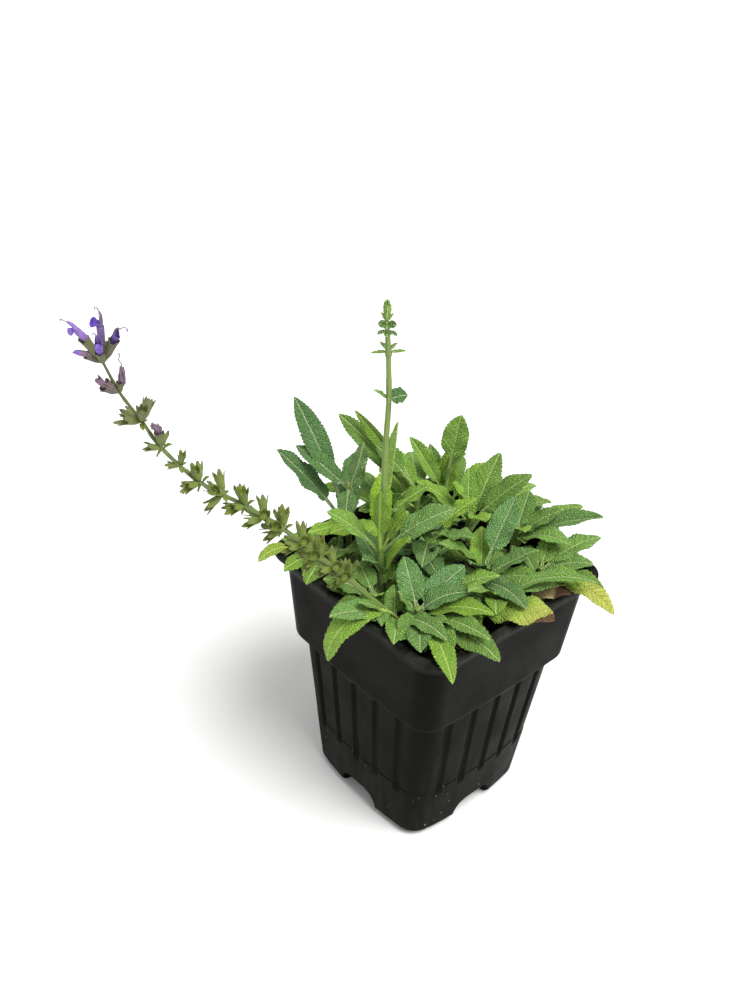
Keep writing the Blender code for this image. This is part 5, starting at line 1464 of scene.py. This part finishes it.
def calyx_skin(foot, mouth, dark, seed, wall_share=0.66, wide=1.0):
    """Two-lipped bell, closed over a shallow inner wall.

    Its radius grows from its foot along an eased step, with thirteen ribs, and flares at the
    rim. The rim runs out into teeth: two long ones under and three shorter ones over, each
    a rounded triangle of the angle from its middle, so it opens like a hand. The inner wall
    lies the thickness of the wall inside the outer.
    """
    rng = np.random.default_rng(seed)
    d, across, up = frame_of(mouth - foot)
    length = np.linalg.norm(mouth - foot)
    a = np.linspace(-math.pi, math.pi, 50, endpoint=False)
    long_tooth = 1.15 * (0.98 - wall_share)
    tooth = np.zeros_like(a)
    for centre, tall, reach in CALYX_TEETH:
        tooth = np.maximum(tooth, long_tooth * tall * rng.uniform(0.85, 1.15)
                           * np.clip(1 - (np.abs(a - centre) / reach) ** 1.6, 0, 1) ** 0.8)
    t = np.concatenate([np.linspace(0.03, 1, 14), np.linspace(0.97, 0.78, 4)])[:, None]
    wall = np.where(np.arange(18) < 14, 0.0, 1.0)[:, None]
    scale = min(length / 9.0, 1.0) * wide
    r = CALYX_FOOT + scale * (1.12 * eased(0, 0.55, t) + 0.55 * t ** 4 + 1.9 * tooth * t ** 6)
    r = (r * (1 + 0.035 * np.cos(CALYX_RIBS * a) * eased(0.1, 0.4, t))
         * (1 + 0.06 * np.sin(a + seed)) - CALYX_WALL * wall)
    along = length * (wall_share * t + tooth * t ** 4)
    bend = CALYX_BEND * t ** 2 * rng.normal(0, 1, 2)[:, None, None]
    points = stepped(foot, (along, d), (r * np.cos(a) + bend[0], across),
                     (r * np.sin(a) * 0.92 + bend[1], up))
    reach = np.clip(along / length, 0, 1)
    return skin(points, tint=channels(reach, dark, np.cos(CALYX_RIBS * a) * 0.5 + 0.5, 1 - wall))


def calyx_finish():
    """Olive calyx with paler ribs and brownish pink teeth; old ones are darker all over."""
    made, tree, shader = finish("calyx", 0.6, Sheen_Weight=0.04)
    place = object_place(tree)
    reach, dark, rib, outside = painted(tree)
    cloud = noise_of(tree, place, 380.0, 4.0)
    colour = colour_between(tree, cloud, (0.075, 0.12, 0.014), (0.2, 0.275, 0.036))
    colour = colour_between(tree, times(tree, rib, 0.35), colour, (0.25, 0.315, 0.08))
    blush = step_of(tree, plus(tree, reach, times(tree, cloud, 0.35)), 0.85, 1.15)
    colour = colour_between(tree, times(tree, blush, 0.75), colour, (0.125, 0.075, 0.035))
    withered = colour_between(tree, times(tree, rib, cloud), (0.06, 0.042, 0.04),
                              (0.3, 0.22, 0.2))
    colour = colour_between(tree, outside, (0.14, 0.195, 0.02), colour)
    aged = times(tree, dark, step_of(tree, reach, 0.0, 0.45, 0.35, 1.0))
    colour = colour_between(tree, aged, colour, withered)
    surface(tree, shader, colour, plus(tree, noise_of(tree, place, 1400.0), rib), 0.5, 0.0002)
    return made


def whorl_bracts():
    """Pair of small pointed bracts under each whorl, set across the stem."""
    skins = []
    for k, (centre, *_) in enumerate(CLUSTERS):
        foot, tangent = nearest_on(STEM_LINES["arching_stem"], np.array(centre, float))
        d, across, up = frame_of(tangent)
        side = across if k % 2 else up
        for way in (1, -1):
            leaf = (tuple(foot - d * 0.6 + side * way * 0.5), tuple(foot - d * 1.6 + side * way * 4.2),
                    20.0, 2.6, 0.04, 18, 0, 0.1)
            skins.append(leaf_skin(leaf, 300 + 2 * k + way, 0.5, teeth=0.0))
    return joined(skins)


def all_calyces():
    """Those of the whorls stand empty; those that hold a flower are longer in the wall,
    and the sixth of them is a wide ragged one."""
    empty = len(calyx_places()) - len(FLOWERS)
    skins = []
    for k, (foot, mouth) in enumerate(calyx_places()):
        held = k - empty
        dark = float(np.clip((mouth[2] - 205) / 80, 0.0, 0.5)) + {2: 0.3, 4: 0.2, 5: 0.5}.get(held, 0)
        skins.append(calyx_skin(foot, mouth, dark, 60 + k, 0.66 if held < 0 else 0.86,
                                1.9 if held == 5 else 1.0))
    return joined(skins)


CALYX = calyx_finish()
calyces = all_calyces()
piece("calyces", calyces, CALYX, "leaf", "arching_stem")
piece("whorl_bracts", whorl_bracts(), CALYX, "leaf", "arching_stem")
piece("arching_down", joined([down_of(arch, 1500, 0.5, 42), down_of(calyces, 2600, 0.4, 43)]),
      DOWN, "leaf", "arching_stem")


# Flowers. Thin violet petals grown into a tube that opens in a hood and a three-lobed
# lower lip, with a forked style sticking out of the hood; each sits loose in its calyx.
# The spent ones have shrunk to brown-purple scraps that keep their style.

# Thickness of the tube, of a petal and of the hood.
PETAL_WALL, PETAL_THICK, HOOD_THICK = 0.15, 0.2, 0.22


def sheet_skin(middle, thick, tint):
    """Thin closed sheet from its middle surface (rows, columns, 3).

    Both faces stand half the thickness off it along the cross product of its two
    directions, and come together at the side edges.
    """
    down, over = np.gradient(middle, axis=0), np.gradient(middle, axis=1)
    normal = np.cross(down, over)
    normal /= np.maximum(np.linalg.norm(normal, axis=-1), 1e-9)[..., None]
    columns = middle.shape[1]
    lens = np.clip(1 - np.linspace(-1, 1, columns) ** 4, 0, 1)[None, :, None] * thick / 2
    ring = np.concatenate([middle + normal * lens, (middle - normal * lens)[:, -2:0:-1]], axis=1)
    tint = np.broadcast_to(tint, (*middle.shape[:2], 4))
    return skin(ring, tint=np.concatenate([tint, tint[:, -2:0:-1]], axis=1))


def curve_of(points, count):
    """Smooth line through the points with that many rows."""
    line = smooth_line(points, 12)
    at = np.linspace(0, len(line) - 1, count)
    return read_off(at, np.arange(len(line)), line)


def petal_tube(line, radii, up_hint, tint, fade):
    """Open petal tube: rings along a line, then an inner wall inside it, back down it.

    The tint changes by `fade` from its foot to its end.
    """
    _, across, up = stem_frames(line, up_hint)
    a = bearings(20)
    radius = stretched(radii, len(line))[:, None]
    outer, inner = (around(line, across, up, r * np.cos(a), r * np.sin(a))
                    for r in (radius, radius - PETAL_WALL))
    s = np.linspace(0, 1, len(line))
    shade = tint + np.concatenate([s, s[:2:-1]])[:, None, None] * fade
    return skin(np.concatenate([outer, inner[:2:-1]]), tint=shade)


def hood_skin(line, up_hint, radii, arms, tint):
    """Hood: at each point of a line an arc round its upper side, from -arm to arm radians."""
    _, across, up = stem_frames(line, up_hint)
    radius = stretched(radii, len(line))[:, None]
    a = stretched(arms, len(line))[:, None] * np.linspace(-1, 1, 13)
    middle = around(line, across, up, radius * np.sin(a), radius * np.cos(a))
    return sheet_skin(middle, HOOD_THICK, tint)


# Toward the camera, and upward as the camera sees it.
VIEWWARD, VIEW_UP = np.array([0.622, -0.58, 0.525]), np.array([-0.384, 0.358, 0.851])


def lip_skin(root, out, size, notch, tint, seed):
    """Lower lip that faces the viewer: a sheet that widens to two rounded lobes.

    Half width = size * (0.6 + 0.44 * bump at 0.64 of its length), rounded off at its end,
    which a notch parts in the middle; cupped across by v^2 and frilled along the edge.
    """
    out = np.array(out, float) / np.linalg.norm(out)
    across = np.cross(VIEWWARD, out)
    across /= np.linalg.norm(across)
    facing = np.cross(out, across)
    s, v = np.linspace(0, 1, 22)[:, None], np.linspace(-1, 1, 19)[None, :]
    half = size * (0.6 + 0.44 * np.exp(-((s - 0.64) / 0.3) ** 2)) * np.sqrt(1.02 - s ** 8)
    reach = size * (1.95 * s - notch * eased(0.55, 1.0, s) * np.exp(-(v / 0.3) ** 2))
    lift = size * (0.3 * v ** 2 + 0.25 * np.sin(math.pi * s) - 0.35 * s ** 2
                   + 0.1 * np.abs(v) ** 3 * np.sin(9 * s + seed))
    middle = stepped(root, (reach, out), (half * v, across), (lift, facing))
    return sheet_skin(middle, PETAL_THICK, tint)


def thread_skin(points, radius, tint, swell=0.0):
    """Style or stamen: a round thread, swollen toward its tip by `swell`."""
    line = curve_of(points, 14)
    _, across, up = stem_frames(line, (0.31, 0.22, 0.93))
    a = bearings(7)
    r = radius * (1 + swell * np.exp(-((np.linspace(0, 1, 14) - 0.94) / 0.06) ** 2))[:, None]
    return skin(around(line, across, up, r * np.cos(a), r * np.sin(a)), tint=tint)


def fresh_flower(foot, mouth, tip, hood_side, light, dusk, brown, throat_share, wide, lip, seed):
    """Open flower: tube out of the calyx, hood up to the tip, lower lip, stamens, style.

    The lip is the way it points, its size and its notch; a flower without one has a closed
    hood and a curled style. Tint is lightness, dusk of the hood, brown of the tube and 1.
    """
    foot, mouth, tip = (np.array(p, float) for p in (foot, mouth, tip))
    d, across, up = frame_of(mouth - foot, hood_side)
    reach = tip - mouth
    way = reach / np.linalg.norm(reach)
    throat = mouth + reach * throat_share
    neck = curve_of([foot + (mouth - foot) * 0.6, mouth - d * 1.0, throat], 12)
    thread = (0.5, 0.0, 0.5, 1)
    skins = [petal_tube(neck, [0.7, 1.0, 1.35, 1.4], hood_side, (light, 0.0, brown, 1.0),
                        np.array([0, 0, -0.45 * brown, 0]))]
    crest = curve_of([throat - way * 1.2 - up * 0.2, throat - up * 0.1,
                      throat + (tip - throat) * 0.6 + up * 0.3, tip - way * 0.2], 18)
    shade = dusk * eased(0.15, 0.75, np.linspace(0, 1, 18))[:, None, None] * (0, 1, 0, 0)
    skins.append(hood_skin(crest, hood_side, wide * np.array([1.3, 1.45, 1.3, 0.9, 0.15]),
                           [2.2, 1.9, 1.6, 1.3, 0.9], shade + (light, 0.0, brown * 0.55, 1.0)))
    if lip is None:
        hooks = [[tip - way * 0.8, tip + SIDEWARD * 0.8 + way * 0.3, tip + SIDEWARD * 2.3,
                  tip + SIDEWARD * (2.6 + side) - way * (0.9 + side)] for side in (0.0, 0.5)]
        return joined(skins + [thread_skin(hook, 0.17, thread, 0.5) for hook in hooks])
    way_out, size, notch = lip
    out = np.array(way_out, float) / np.linalg.norm(way_out)
    skins.append(lip_skin(throat + out * 0.15 + way * 0.7, way_out, size, notch,
                          (light * 0.8, 0.0, 0.0, 1.0), seed))
    end = tip + way * 1.1 - SIDEWARD * 0.9
    skins.append(thread_skin([throat, throat + (tip - throat) * 0.6, tip, end], 0.14, thread))
    for side in (-1, 1):
        skins.append(thread_skin([end, end + SIDEWARD * side * 0.45 - way * 0.5,
                                  end + SIDEWARD * side * 0.5 - way * 1.2], 0.17, (0.8, 0, 0.1, 1)))
        skins.append(thread_skin([throat, throat + out * 0.7 + across * side * 0.5,
                                  throat + out * 1.1 + way * 0.9 + across * side * 0.5], 0.12,
                                 (0.8, 0.0, 0.1, 1), 1.6))
    return joined(skins)


def tongue_skin(mouth, tip, light):
    """Petal tip of a flower that is only just coming out: a small blunt folded tongue,
    brown where it leaves the calyx."""
    mouth, tip = np.array(mouth, float), np.array(tip, float)
    d, _, up = frame_of(tip - mouth)
    line = curve_of([mouth - d * 2.5, mouth, mouth + (tip - mouth) * 0.6 + up * 0.3, tip], 18)
    browned = 0.8 * (1 - eased(0.4, 0.75, np.linspace(0, 1, 18)))[:, None, None] * (0, 0, 1, 0)
    return hood_skin(line, up, [0.9, 1.15, 1.15, 1.05, 0.3], [2.6, 2.4, 2.2, 1.8, 1.2],
                     browned + (light, 0.0, 0.0, 1.0))


def scrap_skin(root, tip, width, seed):
    """Shrivelled petal: a creased sheet whose end is torn to a different length at each place."""
    d, across, up = frame_of(tip - root)
    length = np.linalg.norm(tip - root)
    s, v = np.linspace(0, 1, 20)[:, None], np.linspace(-1, 1, 17)[None, :]
    torn = 1 - 0.45 * np.abs(np.sin(4.3 * v + seed)) ** 0.7
    half = width * (0.45 + 0.55 * np.sin(math.pi * (0.15 + 0.6 * s)))
    fold = 0.45 * np.sin(5 * v + 3 * s + seed) + 0.25 * np.sin(11 * v - 5 * s) + 0.8 * v ** 2
    middle = stepped(root, (s * torn * length, d), (half * v, across), (fold * (0.3 + s), up))
    return sheet_skin(middle, PETAL_THICK, channels(0.25 + 0.2 * s, 0.4, 0.8, 1.0))


def spent_flower(foot, mouth, tip, seed):
    """Shrivelled flower: a slim creased tube with torn scraps; a whole one keeps its style."""
    foot, mouth, tip = (np.array(p, float) for p in (foot, mouth, tip))
    d, across, _ = frame_of(mouth - foot)
    reach = tip - mouth
    line = curve_of([foot + (mouth - foot) * 0.5, mouth, mouth + reach * 0.5 + across * 0.2,
                     mouth + reach * 0.8], 22)
    _, sideways, over = stem_frames(line, (0.2, 0.1, 0.97))
    s = np.linspace(0, 1, 22)[:, None]
    a = bearings(24)
    r = (0.5 + 0.75 * np.sin(math.pi * np.clip(s, 0, 0.9)) ** 0.8) * (
        1 + 0.12 * np.cos(5 * a + 4 * s + seed) + 0.07 * np.cos(11 * a - 2 * s))
    petals = skin(around(line, sideways, over, r * np.cos(a), r * np.sin(a) * 0.8),
                  tint=channels(0.25 + 0.2 * s, 0.4, 0.75, 1.0))
    lean = SIDEWARD * np.linalg.norm(reach) / 7.0
    style = [mouth + reach * 0.5, mouth + reach * 0.85 - lean * 0.3, tip - lean * 0.2,
             tip + reach * 0.22 - lean * 1.3, tip + reach * 0.38 - lean * 0.8, tip + reach * 0.6 - lean]
    whole = np.linalg.norm(reach) > 5
    scraps = [scrap_skin(mouth - d * 1.5 + side * 0.5, tip + side * (0.6 if whole else 1.4),
                         1.2 if whole else 1.9, seed + k) for k, side in enumerate((across, -across))]
    if whole:
        scraps.append(thread_skin(style, 0.2, (0.4, 0.0, 0.9, 1), 0.3))
    return joined([petals, *scraps])


def petal_finish(name, spent):
    """Violet petals, paler where tinted so, dusky indigo on the hood, with darker veins."""
    made, tree, shader = finish(name, 0.7 if spent else 0.48, Sheen_Weight=0.15)
    place = object_place(tree)
    light, dusk, brown, _ = painted(tree)
    colour = colour_between(tree, light, (0.062, 0.02, 0.33), (0.25, 0.14, 0.57))
    streaks = drawn_out(tree, place, 0.3)
    vein = step_of(tree, noise_of(tree, streaks, 900.0, 3.0), 0.42, 0.62)
    colour = colour_between(tree, times(tree, vein, 0.35), colour, (0.07, 0.03, 0.26))
    colour = colour_between(tree, dusk, colour, (0.04, 0.038, 0.095))
    withered = colour_between(tree, noise_of(tree, place, 520.0, 4.0), (0.085, 0.045, 0.05),
                              (0.33, 0.22, 0.21))
    colour = colour_between(tree, brown, colour, withered)
    relief = noise_of(tree, streaks, 1100.0, 4.0)
    surface(tree, shader, colour, relief, 0.7 if spent else 0.35, 0.0003)
    return made


PETAL, SPENT = petal_finish("petal", False), petal_finish("spent_petal", True)
# Of each open flower: lightness, dusk of its hood, brown of its tube, share of its length at
# the throat, breadth of the hood and the lip, if it has one.
OPEN_LOOKS = {0: (0.15, 1.0, 0.9, 0.5, 0.75, (0.2 * VIEW_UP - SIDEWARD, 1.9, 0.55)),
              1: (0.95, 0.0, 0.45, 0.36, 0.85, (-0.55 * VIEW_UP - SIDEWARD, 1.5, 0.1)),
              3: (0.6, 0.0, 0.1, 0.38, 0.85, (0.2 * SIDEWARD - VIEW_UP, 1.35, 0.55)),
              4: (0.2, 1.0, 0.3, 0.2, 1.1, None)}
for k, (foot, mouth, tip, hood_side, withered) in enumerate(FLOWERS):
    if withered:
        shape = spent_flower(foot, mouth, tip, k)
    elif k in OPEN_LOOKS:
        shape = fresh_flower(foot, mouth, tip, hood_side, *OPEN_LOOKS[k], k)
    else:
        shape = tongue_skin(mouth, tip, 0.7)
    piece(f"{'spent' if withered else 'open'}_flower_{k + 1}", shape, SPENT if withered else PETAL,
          "withered" if withered else "petal", f"flower_{k + 1}")


# Old leaves. Four of the oldest leaves round the rim, on their own stalks from the soil:
# a bright yellow one, an olive one that is going yellow and brown at its tip, a dead one,
# dry and buff with a brown tip, and a small pale one over the left rim.

def olive_yellow(b, u):
    """Yellow that grows toward the tip."""
    return 0.22 + 0.75 * eased(0.42, 0.78, b + 0.1 * u)


def olive_brown(b, u):
    """Brown at the very tip and along the outer edge."""
    return 0.9 * eased(0.8, 0.9, b + 0.1 * u) + 0.6 * eased(0.9, 1, np.abs(u)) * (b > 0.6)


def dry_brown(b, _):
    """Brown all over, most toward the tip."""
    return 0.35 + 0.6 * eased(0.45, 0.75, b)


def dry_finish():
    """Dead leaf: buff between its veins and dark brown toward the tip."""
    made, tree, shader = finish("dead_leaf", 0.8)
    brown = painted(tree)[2]
    _, side, _, height = add(tree, "Group", node_tree=VEINS).outputs[:4]
    cloud = noise_of(tree, object_place(tree), 300.0, 4.0)
    colour = colour_between(tree, cloud, (0.3, 0.23, 0.1), (0.47, 0.4, 0.19))
    colour = colour_between(tree, times(tree, side, 0.5), colour, (0.24, 0.16, 0.06))
    dark = step_of(tree, plus(tree, brown, times(tree, cloud, 0.4)), 0.85, 1.1)
    colour = colour_between(tree, dark, colour, (0.095, 0.048, 0.022))
    surface(tree, shader, colour, plus(tree, height, cloud), 0.8, 0.0004)
    return made


OLD_LOOKS = {"old_leaf_yellow": dict(age=0.2, yellow=lambda b, u: 0.45 + 0.55 * eased(0.15, 0.6, b)),
             "old_leaf_olive": dict(age=0.25, yellow=olive_yellow, brown=olive_brown),
             "old_leaf_brown": dict(age=0.5, brown=dry_brown),
             "old_leaf_pale": dict(age=0.15, yellow=0.25)}
for k, (name, look) in enumerate(OLD_LOOKS.items()):
    post = old_post(OLD_LEAVES[name][0])
    stalk = stem_skin(post, [0.9, 0.95, 0.95], tinge=0.6 if name == "old_leaf_brown" else 0.1)
    slot = "leaf_brown" if name == "old_leaf_brown" else "leaf_yellow"
    dress = dry_finish() if name == "old_leaf_brown" else SAGE_LEAF
    piece(name + "_blade", leaf_skin(LEAVES[name][0], 400 + k, **look), dress, slot, name)
    piece(name + "_stalk", stalk, SAGE_STEM, slot, name)


# Floor, light and camera. A plain pale floor under a bright even sky, with one large soft
# lamp high on the right, seen from a little above the plant as in the photograph.

FLOOR_HALF = 12
SUN_PLACE, SUN_SPREAD, SUN_STRENGTH, SKY_STRENGTH = (0.75, 0.05, 1.35), 32.0, 3.2, 0.66
# The camera: bearing, tilt and roll in degrees, place in metres and lens in millimetres.
CAMERA_TURNS, CAMERA_PLACE, LENS = (47.01, 31.7, 3.44), (0.26619, -0.29021, 0.40876), 36.0


def plain_floor():
    """Pale matt floor that reaches past the edges of the picture."""
    mesh = bpy.data.meshes.new("floor")
    mesh.from_pydata([(x * FLOOR_HALF, y * FLOOR_HALF, 0)
                      for x, y in ((-1, -1), (1, -1), (1, 1), (-1, 1))], [], [(0, 1, 2, 3)])
    made, tree, shader = finish("pale_floor", 0.9)
    cloud = noise_of(tree, object_place(tree), 3.0)
    surface(tree, shader, colour_between(tree, cloud, (0.86, 0.86, 0.85), (0.88, 0.88, 0.87)))
    mesh.materials.append(made)
    floor = bpy.data.objects.new("floor", mesh)
    bpy.context.scene.collection.objects.link(floor)


def soft_sun(name, place, spread, strength):
    """Distant lamp in the direction of a place, as soft as if it were `spread` degrees wide."""
    lamp = bpy.data.lights.new(name, "SUN")
    lamp.angle, lamp.energy = math.radians(spread), strength
    made = bpy.data.objects.new(name, lamp)
    bpy.context.scene.collection.objects.link(made)
    made.location = place
    made.rotation_euler = Vector(place).to_track_quat("Z", "Y").to_euler()


def photo_camera():
    """Camera that looks down on the plant from its right front, rolled a little."""
    bearing, down, roll = (math.radians(a) for a in CAMERA_TURNS)
    back = Vector((math.sin(bearing) * math.cos(down), -math.cos(bearing) * math.cos(down),
                   math.sin(down)))
    right = Vector((0, 0, 1)).cross(back).normalized()
    up = back.cross(right)
    right, up = (right * math.cos(roll) + up * math.sin(roll),
                 up * math.cos(roll) - right * math.sin(roll))
    camera = bpy.data.objects.new("camera", bpy.data.cameras.new("camera"))
    camera.data.lens = camera.data.sensor_width = LENS
    bpy.context.scene.collection.objects.link(camera)
    turn = Matrix((right, up, back)).transposed().to_4x4()
    camera.matrix_world = Matrix.Translation(CAMERA_PLACE) @ turn
    bpy.context.scene.camera = camera


plain_floor()
soft_sun("key_sun", SUN_PLACE, SUN_SPREAD, SUN_STRENGTH)
world = bpy.context.scene.world or bpy.data.worlds.new("sky")
bpy.context.scene.world = world
world.use_nodes = True
sky = world.node_tree.nodes["Background"].inputs
sky[0].default_value, sky[1].default_value = (1.0, 1.0, 1.0, 1.0), SKY_STRENGTH
bpy.context.scene.view_settings.view_transform = "Standard"
photo_camera()
